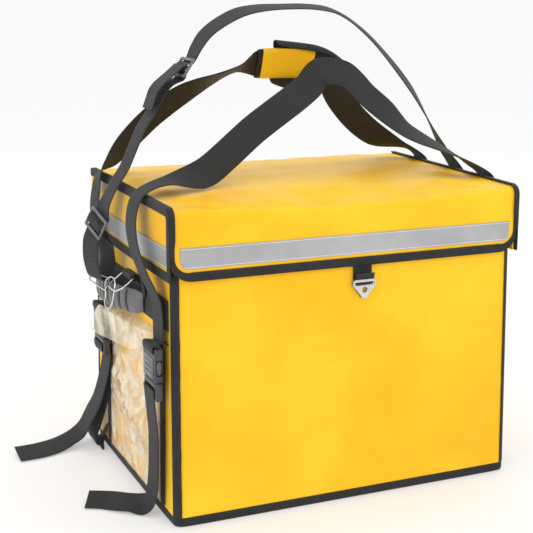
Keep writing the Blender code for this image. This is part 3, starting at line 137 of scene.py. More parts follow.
class ShaderSheet:
    """One Principled material and the nodes that feed it."""

    def __init__(self, name: str) -> None:
        """Start a material with its Principled shader."""
        self.material = bpy.data.materials.new(name)
        self.material.use_nodes = True
        self.tree = self.material.node_tree
        self.shader = self.tree.nodes["Principled BSDF"]

    def node(self, kind: str, settings: dict[str, Any] | None = None,
             inputs: dict[Any, Any] | None = None) -> Any:
        """Add one node.

        Args:
            kind: The node's type.
            settings: Its own settings, set first.
            inputs: A number, colour, socket or Value for each input.
        Returns:
            The node.
        """
        made = self.tree.nodes.new(kind)
        for key, value in (settings or {}).items():
            setattr(made, key, value)
        for key, value in (inputs or {}).items():
            self.feed(made.inputs[key], value)
        return made

    def feed(self, socket: Any, value: Any) -> None:
        """Set or link one input.

        Args:
            socket: The input.
            value: A number, colour, socket or Value.
        """
        if isinstance(value, Value):
            value = value.socket
        if isinstance(value, bpy.types.NodeSocket):
            self.tree.links.new(value, socket)
        else:
            socket.default_value = value

    def set(self, **values: Any) -> None:
        """Set or link inputs of the shader, with underscores for spaces."""
        for key, value in values.items():
            self.feed(self.shader.inputs[key.replace("_", " ")], value)

    def place(self, along: Along = Along.X) -> Any:
        """The vector that a pattern reads: the piece's map or Object coordinates."""
        coordinates = self.node("ShaderNodeTexCoord")
        return coordinates.outputs["UV" if along is Along.MAP else "Object"]

    def axes(self, vector: Any) -> tuple[Value, Value, Value]:
        """The three numbers of a vector."""
        parts = self.node("ShaderNodeSeparateXYZ", inputs={0: vector})
        return tuple(Value(self, socket) for socket in parts.outputs)

    def noise(self, vector: Any, scale: float, detail: float = 3.0, rough: float = 0.5,
              warp: float = 0.0) -> Value:
        """Noise of one scale over a vector.

        Args:
            vector: What it reads.
            scale: Waves in a metre.
            detail: Octaves.
            rough: How strong the fine octaves are.
            warp: How much the pattern is twisted.
        Returns:
            A value from 0 to 1.
        """
        made = self.node("ShaderNodeTexNoise", None, {
            "Vector": vector, "Scale": scale, "Detail": detail, "Roughness": rough,
            "Distortion": warp})
        return Value(self, made.outputs["Fac"])

    def cells(self, vector: Any, scale: float) -> Value:
        """Random cells, whose edges are creases.

        Args:
            vector: What they read.
            scale: Cells in a metre.
        Returns:
            The distance to the nearest edge.
        """
        made = self.node("ShaderNodeTexVoronoi", {"feature": "DISTANCE_TO_EDGE"},
                         {"Vector": vector, "Scale": scale})
        return Value(self, made.outputs["Distance"])

    def remap(self, value: Value, low: float, high: float, start: float = 0.0,
              end: float = 1.0) -> Value:
        """A value moved from one range to another, held at its ends.

        Args:
            value: What is moved.
            low: Where the old range starts.
            high: Where it ends.
            start: The result at low.
            end: The result at high.
        Returns:
            The moved value.
        """
        made = self.node("ShaderNodeMapRange", {"clamp": True}, {
            "Value": value, "From Min": low, "From Max": high, "To Min": start, "To Max": end})
        return Value(self, made.outputs["Result"])

    def mix(self, factor: Any, first: Any, second: Any) -> Any:
        """Blend two colours.

        Args:
            factor: How much of the second shows.
            first: A colour or a socket.
            second: A colour or a socket.
        Returns:
            The colour's socket.
        """
        made = self.node("ShaderNodeMix", {"data_type": "RGBA"},
                         {0: factor, 6: rgba(first), 7: rgba(second)})
        return made.outputs[2]

    def bump(self, *layers: tuple[Value, float]) -> None:
        """Feed the shader's Normal from heights, coarse first.

        Args:
            layers: Each height from 0 to 1 and its depth in metres.
        """
        normal = None
        for height, depth in layers:
            inputs = {"Height": height, "Distance": depth, "Strength": 1.0}
            if normal is not None:
                inputs["Normal"] = normal
            normal = self.node("ShaderNodeBump", None, inputs).outputs["Normal"]
        self.feed(self.shader.inputs["Normal"], normal)


def rgba(colour: Any) -> Any:
    """A colour with its alpha, or the socket as it is."""
    return (*colour, 1.0) if isinstance(colour, tuple) and len(colour) == 3 else colour


def linear(code: str) -> Colour:
    """Linear colour of a screen colour written as six hexadecimal digits."""
    parts = [int(code[index:index + 2], 16) / 255 for index in (0, 2, 4)]
    return tuple(p / 12.92 if p <= 0.04045 else ((p + 0.055) / 1.055) ** 2.4 for p in parts)


@dataclass(frozen=True)
class Tarpaulin:
    """Coated cloth: a fine basket weave under a glossy skin."""

    name: str = "coated_cloth"
    base: Colour = linear("FFCC28")
    deep: Colour = linear("FABC18")
    weave: float = 0.0011
    cloud_scale: float = 7
    crumple_scale: float = 38
    crease_scale: float = 11
    cloud_depth: float = 0.0016
    crumple_depth: float = 0.0004
    crease_depth: float = 0.00012
    weave_depth: float = 0.00008

    def make(self) -> bpy.types.Material:
        """The material of the coated cloth."""
        sheet = ShaderSheet(self.name)
        place = sheet.place()
        x, y, z = sheet.axes(place)
        threads = x.wave(self.weave) * z.wave(self.weave) + y.wave(self.weave) * 0.5
        cloud = sheet.noise(place, self.cloud_scale, 4, 0.55, 0.4)
        creases = sheet.remap(sheet.cells(place, self.crease_scale), 0.0, 0.05)
        crumples = sheet.noise(place, self.crumple_scale, 3, 0.6, 0.8)
        tint = sheet.remap(cloud, 0.40, 0.68)
        sheet.set(Base_Color=sheet.mix(tint, self.base, self.deep),
                  Roughness=sheet.remap(crumples, 0.3, 0.7, 0.30, 0.42),
                  Specular_IOR_Level=0.16, Coat_Weight=0.05, Coat_Roughness=0.2)
        sheet.bump((cloud, self.cloud_depth), (crumples, self.crumple_depth),
                   (creases, self.crease_depth), (sheet.remap(threads, -1, 1), self.weave_depth))
        return sheet.material


@dataclass(frozen=True)
class Webbing:
    """Woven strap: ribs across it, rows of picks along it, with painted shade in the grooves
    between the ribs.
    """

    name: str = "ribbed_webbing"
    along: Along = Along.MAP
    base: Colour = linear("09090A")
    lit: Colour = linear("2B2B2C")
    rib: float = 0.0029
    pick: float = 0.0030
    fluff_scale: float = 900
    wear_scale: float = 24
    rib_depth: float = 0.00045
    pick_depth: float = 0.00012
    fluff_depth: float = 0.00006

    def make(self) -> bpy.types.Material:
        """The material of the webbing."""
        sheet = ShaderSheet(self.name)
        place = sheet.place(self.along)
        x, y, z = sheet.axes(place)
        across, run = {Along.MAP: (x, y), Along.X: (z, x), Along.Y: (z, y),
                       Along.Z: (y, z)}[self.along]
        ribs = sheet.remap(run.wave(self.rib), -1, 1)
        picks = sheet.remap(across.wave(self.pick), -1, 1)
        fluff = sheet.noise(place, self.fluff_scale, 2)
        wear = sheet.noise(place, self.wear_scale, 3)
        # Painted shade: the colour darkens in the grooves between ribs and lightens on their
        # crests; fluff and wear add random tone.
        shade = sheet.remap(ribs * 0.8 + fluff * 0.4 + wear * 0.3, 0.30, 1.25)
        sheet.set(Base_Color=sheet.mix(shade, self.base, self.lit), Roughness=0.72,
                  Sheen_Weight=0.06, Sheen_Roughness=0.5)
        sheet.bump((ribs, self.rib_depth), (picks, self.pick_depth), (fluff, self.fluff_depth))
        return sheet.material


@dataclass(frozen=True)
class Tape:
    """Binding tape: a soft fine weave, a little worn."""

    name: str = "binding_tape"
    base: Colour = linear("101011")
    lit: Colour = linear("262627")
    weave: float = 0.0013
    fluff_scale: float = 500
    wear_scale: float = 35
    wear_depth: float = 0.0006
    weave_depth: float = 0.00012
    fluff_depth: float = 0.00008

    def make(self) -> bpy.types.Material:
        """The material of the binding tape."""
        sheet = ShaderSheet(self.name)
        place = sheet.place()
        x, y, z = sheet.axes(place)
        threads = x.wave(self.weave) * z.wave(self.weave) + y.wave(self.weave) * 0.6
        fluff = sheet.noise(place, self.fluff_scale, 3)
        wear = sheet.noise(place, self.wear_scale, 3)
        shade = sheet.remap(fluff * 0.6 + wear * 0.7, 0.4, 0.95)
        sheet.set(Base_Color=sheet.mix(shade, self.base, self.lit), Roughness=0.8,
                  Sheen_Weight=0.06, Sheen_Roughness=0.5)
        sheet.bump((wear, self.wear_depth), (sheet.remap(threads, -1, 1), self.weave_depth),
                   (fluff, self.fluff_depth))
        return sheet.material


@dataclass(frozen=True)
class Reflective:
    """Silver-grey reflective tape with a dashed row of stitches along each edge."""

    name: str
    run: Along
    low: float
    high: float
    base: Colour = linear("B4B4B6")
    worn: Colour = linear("A2A2A5")
    thread: Colour = linear("E6E6E0")
    inset: float = 0.0018
    stitch: float = 0.0042
    stitch_wide: float = 0.00045
    stitch_gap: float = -0.45
    cloud_depth: float = 0.0008
    grain_depth: float = 0.00003
    stitch_depth: float = 0.0003

    def make(self) -> bpy.types.Material:
        """The material of the reflective tape."""
        sheet = ShaderSheet(self.name)
        place = sheet.place()
        x, y, z = sheet.axes(place)
        run = x if self.run is Along.X else y
        dashes = run.wave(self.stitch) > self.stitch_gap
        edge = (z - (self.low + self.inset)).size().least((z - (self.high - self.inset)).size())
        line = (edge < self.stitch_wide) * dashes
        grain = sheet.noise(place, 1400, 2)
        cloud = sheet.noise(place, 16, 3)
        tone = sheet.mix(sheet.remap(cloud, 0.35, 0.7), self.base, self.worn)
        sheet.set(Base_Color=sheet.mix(line, tone, self.thread),
                  Roughness=sheet.remap(grain, 0.3, 0.7, 0.38, 0.5), Metallic=0.25)
        sheet.bump((cloud, self.cloud_depth), (grain, self.grain_depth),
                   (line, self.stitch_depth))
        return sheet.material


@dataclass(frozen=True)
class Moulded:
    """Moulded plastic with a fine spark texture and rubbed edges."""

    name: str
    base: Colour
    lit: Colour
    rough: float = 0.42
    hollow: str = ""
    shadow: Colour = linear("0C0C0D")
    cloud_depth: float = 0.0002
    spark_depth: float = 0.00004

    def make(self) -> bpy.types.Material:
        """The material of the moulding."""
        sheet = ShaderSheet(self.name)
        place = sheet.place()
        spark = sheet.noise(place, 1600, 2)
        cloud = sheet.noise(place, 60, 3)
        scuff = sheet.noise(place, 220, 4, 0.6, 1.0)
        tone = sheet.mix(sheet.remap(cloud, 0.35, 0.7), self.base, self.lit)
        if self.hollow:
            depth = sheet.node("ShaderNodeAttribute", {"attribute_name": self.hollow})
            tone = sheet.mix(depth.outputs["Fac"], tone, self.shadow)
        sheet.set(Base_Color=tone,
                  Roughness=sheet.remap(scuff, 0.3, 0.7, self.rough - 0.07, self.rough + 0.1))
        sheet.bump((cloud, self.cloud_depth), (spark, self.spark_depth))
        return sheet.material


@dataclass(frozen=True)
class Plated:
    """Bright plated wire and sheet with light scratches."""

    name: str = "bright_plate"
    base: Colour = linear("DCDCDD")
    dull: Colour = linear("A9A9AB")
    scratch_scale: float = 420
    scratch_depth: float = 0.00003

    def make(self) -> bpy.types.Material:
        """The material of the plated metal."""
        sheet = ShaderSheet(self.name)
        place = sheet.place()
        scratch = sheet.noise(place, self.scratch_scale, 4, 0.6, 2.0)
        sheet.set(Base_Color=sheet.mix(sheet.remap(scratch, 0.4, 0.8), self.base, self.dull),
                  Roughness=sheet.remap(scratch, 0.3, 0.8, 0.10, 0.28), Metallic=1.0)
        sheet.bump((scratch, self.scratch_depth))
        return sheet.material


@dataclass(frozen=True)
class Film:
    """Clear flexible film, creased, glossy, a little milky, with painted glare: noise patches of
    the pale colour made more opaque stand in for reflections.
    """

    name: str
    clear: float
    milk_and_painted_glare: float = 0.56
    base: Colour = linear("FFF3D2")
    fold_depth: float = 0.0016
    crinkle_depth: float = 0.00012

    def make(self) -> bpy.types.Material:
        """The material of the clear film."""
        sheet = ShaderSheet(self.name)
        place = sheet.place()
        folds = sheet.noise(place, 24, 2, 0.45, 1.4)
        crinkles = sheet.noise(place, 85, 3, 0.55, 1.5)
        glare_streaks = sheet.noise(place, 11, 2, 0.5, 3.0)
        # Painted reflection: noise patches lift the alpha of the pale base colour to stand in for
        # glare; the low end is the film's own milkiness.
        haze_and_painted_glare = sheet.remap(folds * 0.55 + crinkles * 0.05 + glare_streaks * 0.4, 0.40, 0.62,
                           self.clear, self.clear + self.milk_and_painted_glare)
        sheet.set(Base_Color=rgba(self.base), Alpha=haze_and_painted_glare, IOR=1.5,
                  Roughness=sheet.remap(crinkles, 0.3, 0.7, 0.03, 0.12),
                  Coat_Weight=0.8, Coat_Roughness=0.03)
        sheet.bump((folds, self.fold_depth), (crinkles, self.crinkle_depth))
        return sheet.material


CLOTH = Tarpaulin().make()
STRAP = Webbing().make()
BAND_Y = Webbing(name="ribbed_band", along=Along.Y).make()
TAPE = Tape().make()
GREY_PLASTIC = Moulded("grey_moulding", linear("5E5E60"), linear("7A7A7C"), 0.35).make()
DARK_PLASTIC = Moulded("dark_moulding", linear("323234"), linear("454547"), 0.36).make()
PRONG_PLASTIC = Moulded("prong_moulding", linear("505052"), linear("6A6A6C"), 0.3).make()
GRIP_RUBBER = Moulded("grip_moulding", linear("5C5C5E"), linear("707072"), 0.42,
                      "groove").make()
THREAD = Moulded("dark_thread", linear("3A3A3B"), linear("4C4C4D"), 0.6).make()
PALE_THREAD = Moulded("pale_thread", linear("D9D9D2"), linear("F0F0EA"), 0.5).make()
METAL = Plated().make()


def collect(name: str, mesh: bpy.types.Mesh, material: bpy.types.Material,
            nodes: Sequence[str]) -> bpy.types.Object:
    """Make a mesh a piece of the bag.

    Args:
        name: The piece's name.
        mesh: Its mesh, in place.
        material: Its finish.
        nodes: The solids that it stands for.
    Returns:
        The piece.
    """
    mesh.materials.clear()
    mesh.materials.append(material)
    piece = bpy.data.objects.new(name, mesh)
    bpy.context.scene.collection.objects.link(piece)
    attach(piece, "root")
    if nodes:
        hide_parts(*nodes)
    return piece


def subdivide(piece: bpy.types.Object, levels: int) -> None:
    """Round a piece with a live Subdivision Surface.

    Args:
        piece: The piece.
        levels: Its levels, shown and rendered.
    """
    surface = piece.modifiers.new("round", "SUBSURF")
    surface.levels = levels
    surface.render_levels = levels


def shade(mesh: bpy.types.Mesh, angle: float = 40) -> None:
    """Smooth shading, with edges sharper than an angle in degrees left crisp."""
    mesh.shade_smooth()
    mesh.set_sharp_from_angle(angle=radians(angle))


def welded(node: str) -> bmesh.types.BMesh:
    """A copy of a solid's mesh with its loose triangles merged.

    Args:
        node: The solid's name.
    Returns:
        The copy.
    """
    bm = bmesh.new()
    bm.from_mesh(bpy.data.objects[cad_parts[node].name].data)
    bmesh.ops.remove_doubles(bm, verts=bm.verts, dist=WELD)
    return bm


@dataclass
class Trim:
    """Pieces that keep their solid's shape, with rounder edges and a finish."""

    material: bpy.types.Material
    slot: str
    edge: float = 0.0003
    levels: int = 0
    crease: float = 50
    held: float = 0.85

    def dress(self, *nodes: str) -> list[bpy.types.Object]:
        """Make a finished piece for each solid.

        Args:
            nodes: The solids' names.
        Returns:
            The pieces.
        """
        made = []
        for node in nodes:
            bm = welded(node)
            bmesh.ops.join_triangles(bm, faces=bm.faces, angle_face_threshold=radians(12),
                                     angle_shape_threshold=radians(60))
            layer = bm.edges.layers.float.new("crease_edge")
            sharp = [edge for edge in bm.edges if len(edge.link_faces) == 2
                     and edge.calc_face_angle(0) > radians(self.crease)]
            if self.levels:
                for edge in sharp:
                    edge[layer] = self.held
            elif self.edge:
                bmesh.ops.bevel(bm, geom=sharp, offset=self.edge, segments=2, profile=0.5,
                                affect="EDGES", material=-1, clamp_overlap=True)
            mesh = as_mesh(node + "_finished", bm)
            piece = collect(mesh.name, mesh, self.material, [node])
            if self.levels:
                subdivide(piece, self.levels)
            made.append(piece)
            LOG.info("trim %s", node)
        return made


def close(bm: bmesh.types.BMesh, ring: Sequence[Any]) -> None:
    """Close a ring of vertices with a strip of faces from its one half to the other.

    Args:
        bm: The mesh.
        ring: An even number of vertices in order.
    """
    last = len(ring) - 1
    for index in range(len(ring) // 2 - 1):
        bm.faces.new((ring[index], ring[index + 1], ring[last - index - 1], ring[last - index]))


def sweep(rows: Sequence[Row], tube: bool = False, pitch: float = 0.0) -> bmesh.types.BMesh:
    """Skin rows of points by extruding one row to the next.

    Args:
        rows: Equal rows of points.
        tube: Whether each row is a closed loop, which is then capped at both ends.
        pitch: The map's step from row to row, or nothing for the real distance.
    Returns:
        A mesh with a map in metres, across first.
    """
    bm = bmesh.new()
    cloth = bm.loops.layers.uv.new("Cloth")
    verts = [bm.verts.new(point) for point in rows[0]]
    edges = [bm.edges.new(pair) for pair in zip(verts, verts[1:])]
    if tube:
        edges.append(bm.edges.new((verts[-1], verts[0])))
        close(bm, verts)
    spans = [0.0]
    for near, far in zip(rows[0], rows[0][1:] + rows[0][:1]):
        spans.append(spans[-1] + (far - near).length)
    middle = len(rows[0]) // 2
    run = 0.0
    for before, row in zip(rows, rows[1:]):
        old = {vert: index for index, vert in enumerate(verts)}
        made = bmesh.ops.extrude_edge_only(bm, edges=edges)["geom"]
        edges = [item for item in made if isinstance(item, bmesh.types.BMEdge)]
        faces = [item for item in made if isinstance(item, bmesh.types.BMFace)]
        after = run + (pitch or (row[middle] - before[middle]).length)
        fresh: dict[Any, int] = {}
        for face in faces:
            for edge in face.edges:
                ends = [vert for vert in edge.verts if vert in old]
                others = [vert for vert in edge.verts if vert not in old]
                if len(ends) == 1 and len(others) == 1:
                    fresh[others[0]] = old[ends[0]]
        for vert, index in fresh.items():
            vert.co = row[index]
        for face in faces:
            ids = [old.get(loop.vert, fresh.get(loop.vert)) for loop in face.loops]
            wraps = 0 in ids and len(row) - 1 in ids and len(row) > 2
            for loop, index in zip(face.loops, ids):
                span = spans[len(row)] if wraps and index == 0 else spans[index]
                loop[cloth].uv = (span, run if loop.vert in old else after)
        verts = [vert for vert, _ in sorted(fresh.items(), key=lambda item: item[1])]
        run = after
    if tube:
        close(bm, verts)
    bmesh.ops.recalc_face_normals(bm, faces=bm.faces)
    return bm


def as_mesh(name: str, bm: bmesh.types.BMesh) -> bpy.types.Mesh:
    """Write a bmesh into a new mesh with smooth faces.

    Args:
        name: The mesh's name.
        bm: What is written, and freed.
    Returns:
        The mesh.
    """
    mesh = bpy.data.meshes.new(name)
    bm.to_mesh(mesh)
    bm.free()
    shade(mesh)
    return mesh


@dataclass
class StrapRoute:
    """The run of a strap: at each station its middle, its width and its wall."""

    middles: list[Vector] = field(default_factory=list)
    wides: list[Vector] = field(default_factory=list)
    walls: list[Vector] = field(default_factory=list)

    @classmethod
    def of_solid(cls, node: str, wall: float) -> "StrapRoute":
        """Read the stations of a strap's solid, four corners each, from one end.

        Args:
            node: The solid's name.
            wall: The strap's thickness.
        Returns:
            The route.
        """
        bm = welded(node)
        start = min(bm.verts, key=lambda vert: (len(vert.link_edges), vert.index))
        layer = cls._cap(start, wall)
        seen = set(layer)
        made = cls()
        while layer:
            made._add([vert.co.copy() for vert in layer])
            layer = sorted({edge.other_vert(vert) for vert in layer for edge in vert.link_edges}
                           - seen, key=lambda vert: vert.index)
            seen |= set(layer)
        bm.free()
        return made

    @staticmethod
    def _cap(start: Any, wall: float) -> list[Any]:
        """Find the end of a strap that one corner belongs to.

        Args:
            start: A corner's vertex.
            wall: The strap's thickness.
        Returns:
            The end's four vertices.
        """
        best: list[Any] = []
        for face in start.link_faces:
            for edge in start.link_edges:
                ring = set(face.verts)
                for other in edge.link_faces:
                    if other is not face and abs(other.normal.dot(face.normal)) > 0.999:
                        ring |= set(other.verts)
                if len(ring) == 4:
                    lengths = sorted((a.co - b.co).length for a in ring for b in ring if a != b)
                    if lengths[0] < 1.2 * wall and lengths[3] < 1.2 * wall:
                        span = lengths[-1]
                        if not best or span < best[0]:
                            best = [span, ring]
        return sorted(best[1], key=lambda vert: vert.index) if best else [start]

    def _add(self, corners: list[Vector]) -> None:
        """Add a station.

        Args:
            corners: Its four corners. Any other number is passed over.
        """
        if len(corners) != 4:
            return
        middle = sum(corners, Vector()) / 4
        first = corners[0]
        rest = sorted(corners[1:], key=lambda corner: (corner - first).length)
        wall = first - rest[0]
        wide = (first + rest[0]) / 2 - (rest[1] + rest[2]) / 2
        if self.wides and wide.dot(self.wides[-1]) < 0:
            wide = -wide
        if self.walls and wall.dot(self.walls[-1]) < 0:
            wall = -wall
        self.middles.append(middle)
        self.wides.append(wide)
        self.walls.append(wall)

    def fine(self, step: float) -> list[tuple[Vector, Vector, Vector]]:
        """Stations about one step apart on a smooth curve.

        Args:
            step: The distance between stations.
        Returns:
            Each station's middle, unit width and unit wall.
        """
        made = []
        count = len(self.middles)
        for index in range(count - 1):
            ids = [max(index - 1, 0), index, index + 1, min(index + 2, count - 1)]
            parts = max(1, round((self.middles[index + 1] - self.middles[index]).length / step))
            smooth = all(self._open(i) for i in (index, index + 1))
            for part in range(parts):
                t = part / parts
                made.append(tuple(
                    self._curve([source[i] for i in ids], t) if smooth
                    else source[index].lerp(source[index + 1], t)
                    for source in (self.middles, self.wides, self.walls)))
        made.append((self.middles[-1], self.wides[-1], self.walls[-1]))
        return [(middle, wide.normalized(), wall.normalized()) for middle, wide, wall in made]

    def _open(self, index: int) -> bool:
        """Whether the strap bends gently at a station.

        Args:
            index: The station's number.
        Returns:
            True where a curve may pass, False at a tight turn.
        """
        if not 0 < index < len(self.middles) - 1:
            return True
        before = self.middles[index] - self.middles[index - 1]
        after = self.middles[index + 1] - self.middles[index]
        even = 0.2 < before.length / max(after.length, 1e-6) < 5
        return even and before.normalized().dot(after.normalized()) > 0.75

    @staticmethod
    def _curve(four: Sequence[Vector], t: float) -> Vector:
        """A point between the middle two of four, on a Catmull-Rom curve.

        Args:
            four: The points.
            t: The share of the way from the second to the third.
        Returns:
            The point.
        """
        before, start, end, after = four
        return 0.5 * ((2 * start) + (end - before) * t
                      + (2 * before - 5 * start + 4 * end - after) * t * t
                      + (3 * start - before - 3 * end + after) * t ** 3)


@dataclass
class Straps:
    """Every webbing strap, swept along its solid's route."""

    width: float = 0.038
    wall: float = 0.0016
    rib: float = 0.0029
    ridge: float = 0.00022
    floor: float = 0.0005
    cells: int = 6
    rim: float = 0.0007

    def profile(self, width: float, lift: float) -> list[tuple[float, float]]:
        """Corners of a strap's section, thin at its edges.

        Args:
            width: The strap's width.
            lift: How far a rib stands out here.
        Returns:
            Each corner's offsets across and through the strap.
        """
        half = width / 2
        thick = self.wall / 2 + lift
        top = [(-half, 0.0), (-half + self.rim, thick * 0.75)]
        top += [(half * (2 * cell / self.cells - 1) * 0.93, thick)
                for cell in range(self.cells + 1)]
        top += [(half - self.rim, thick * 0.75), (half, 0.0)]
        return top + [(across, -through) for across, through in reversed(top[1:-1])]

    def make(self, node: str, width: float | None = None) -> None:
        """Sweep one strap and stand it for its solid.

        Args:
            node: The solid's name.
            width: Its width where it isn't the usual one.
        """
        route = StrapRoute.of_solid(node, self.wall)
        rows = [[middle + wide * across + wall * through for across, through
                 in self.profile(width or self.width, self.ridge * (index % 2 - 0.5))]
                for index, (middle, wide, wall) in enumerate(route.fine(self.rib / 2))]
        for row in rows:
            sunk = self.floor - min(point.z for point in row)
            for point in row:
                point.z += max(sunk, 0.0)
        mesh = as_mesh(node + "_woven", sweep(rows, tube=True, pitch=self.rib / 2))
        collect(node + "_woven", mesh, STRAP, [node])
        LOG.info("strap %s, %d stations", node, len(rows))

    def build(self) -> None:
        """Make every strap."""
        for node in ("handle_front", "handle_back", "lower_strap_front", "lower_strap_back",
                     "shoulder_strap", "shoulder_tail"):
            self.make(node)
        self.make("ring_tab", 0.036)
        self.make("pull_tab", 0.026)


@dataclass(frozen=True)
class Form:
    """Sizes of the bag's cloth forms, the same as its solids'."""

    half_w: float = 0.235
    half_d: float = 0.1675
    high: float = 0.372
    corner: float = 0.012
    front_lean: float = 0.015
    back_lean: float = 0.007
    side_lean: float = 0.003
    swell: float = 0.003
    lid_half: float = 0.2369
    lid_front: float = -0.161023
    lid_back: float = 0.166276
    lid_top: float = 0.386
    lid_hem: float = 0.302
    crown: float = 0.005
    sag: float = 0.0075
    nose: float = 0.010
    flap_corner: float = 0.026
    gap: float = 0.0003

    def side_x(self, z: float) -> float:
        """Distance of the body's side from the middle at a height."""
        return self.half_w - self.side_lean * z / self.high

    def front_y(self, z: float) -> float:
        """Depth of the body's front at a height."""
        return -self.half_d + self.front_lean * z / self.high

    def back_y(self, z: float) -> float:
        """Depth of the body's back at a height."""
        return self.half_d - self.back_lean * z / self.high

    def lid_z(self, x: float, y: float) -> float:
        """Height of the lid's top.

        Args:
            x: The place across the lid.
            y: The place along its depth.
        Returns:
            The height, crowned in the middle and sagging to the front.
        """
        across = 1 - (x / self.lid_half) ** 2
        middle = (self.lid_front + self.lid_back) / 2
        half = (self.lid_back - self.lid_front) / 2
        deep = 1 - ((y - middle) / half) ** 2
        toward = max(0.0, (middle - y) / half)
        return self.lid_top + across * (self.crown * max(deep, 0.0) - self.sag * toward ** 2)

    def flap_face_y(self, z: float) -> float:
        """Depth of the front flap's outer face at a height."""
        return self.lid_front + (z - self.lid_hem) * self.front_lean / self.high * 0.6

    def flap_x(self, y: float, z: float) -> float:
        """Distance of a side flap's outer face from the middle.

        Args:
            y: The place along the flap.
            z: The height.
        Returns:
            The distance, with the flap's slight belly.
        """
        middle = (self.lid_front + self.lid_back) / 2
        half = (self.lid_back - self.lid_front) / 2
        along = max(0.0, 1 - ((y - middle) / half) ** 2)
        share = (self.lid_top - z) / (self.lid_top - self.lid_hem)
        return self.lid_half + self.swell * along * sin(pi * min(max(share, 0.0), 1.0) * 0.8)

    def hem_rise(self, x: float) -> float:
        """How far the front flap's edge lifts at its round lower corner.

        Args:
            x: The place across the lid.
        Returns:
            The rise, which is nothing away from the corner.
        """
        inside = max(self.lid_half - self.gap - abs(x), 0.0)
        if inside >= self.flap_corner:
            return 0.0
        radius = self.flap_corner
        return radius - sqrt(max(0.0, radius ** 2 - (radius - inside) ** 2))


FORM = Form()


@dataclass
class Settling:
    """Cloth simulation of a piece held where it is sewn, then written into its mesh."""

    slack: float
    pressure: float
    reach: float
    mass: float = 0.15
    stiff: float = 30.0
    bend: float = 0.4
    frames: int = 20

    def run(self, mesh: bpy.types.Mesh, held: Callable[[Vector], float]) -> None:
        """Let the cloth buckle in its own slack.

        Args:
            mesh: The mesh, changed in place.
            held: How firmly a point is held, from 0 to 1.
        """
        piece = bpy.data.objects.new("settling", mesh.copy())
        bpy.context.scene.collection.objects.link(piece)
        group = piece.vertex_groups.new(name="sewn")
        weights = [min(max(held(vertex.co), 0.0), 1.0) for vertex in mesh.vertices]
        for index, weight in enumerate(weights):
            if weight > 0:
                group.add([index], weight, "REPLACE")
        cloth = piece.modifiers.new("cloth", "CLOTH")
        sewn = cloth.settings
        sewn.quality = 4
        sewn.mass = self.mass
        sewn.tension_stiffness = self.stiff
        sewn.compression_stiffness = self.stiff
        sewn.shear_stiffness = self.stiff / 3
        sewn.bending_stiffness = self.bend
        sewn.vertex_group_mass = "sewn"
        sewn.shrink_min = -self.slack
        sewn.use_pressure = self.pressure > 0
        sewn.uniform_pressure_force = self.pressure
        sewn.effector_weights.gravity = 0
        cloth.point_cache.frame_end = self.frames
        scene = bpy.context.scene
        for step in range(1, self.frames + 1):
            scene.frame_set(step)
        settled = piece.evaluated_get(bpy.context.evaluated_depsgraph_get()).data
        furthest = 0.0
        for index, vertex in enumerate(mesh.vertices):
            move = (settled.vertices[index].co - vertex.co) * (1 - weights[index])
            furthest = max(furthest, move.length)
            if move.length > self.reach:
                move *= self.reach / move.length
            vertex.co += move
        bpy.data.objects.remove(piece)
        scene.frame_set(1)
        LOG.info("settled %s, furthest %.1f mm", mesh.name, furthest * 1000)


def ramp(value: float, start: float, end: float) -> float:
    """How far a value is from start to end, held to 0 and 1."""
    return min(max((value - start) / (end - start), 0.0), 1.0)


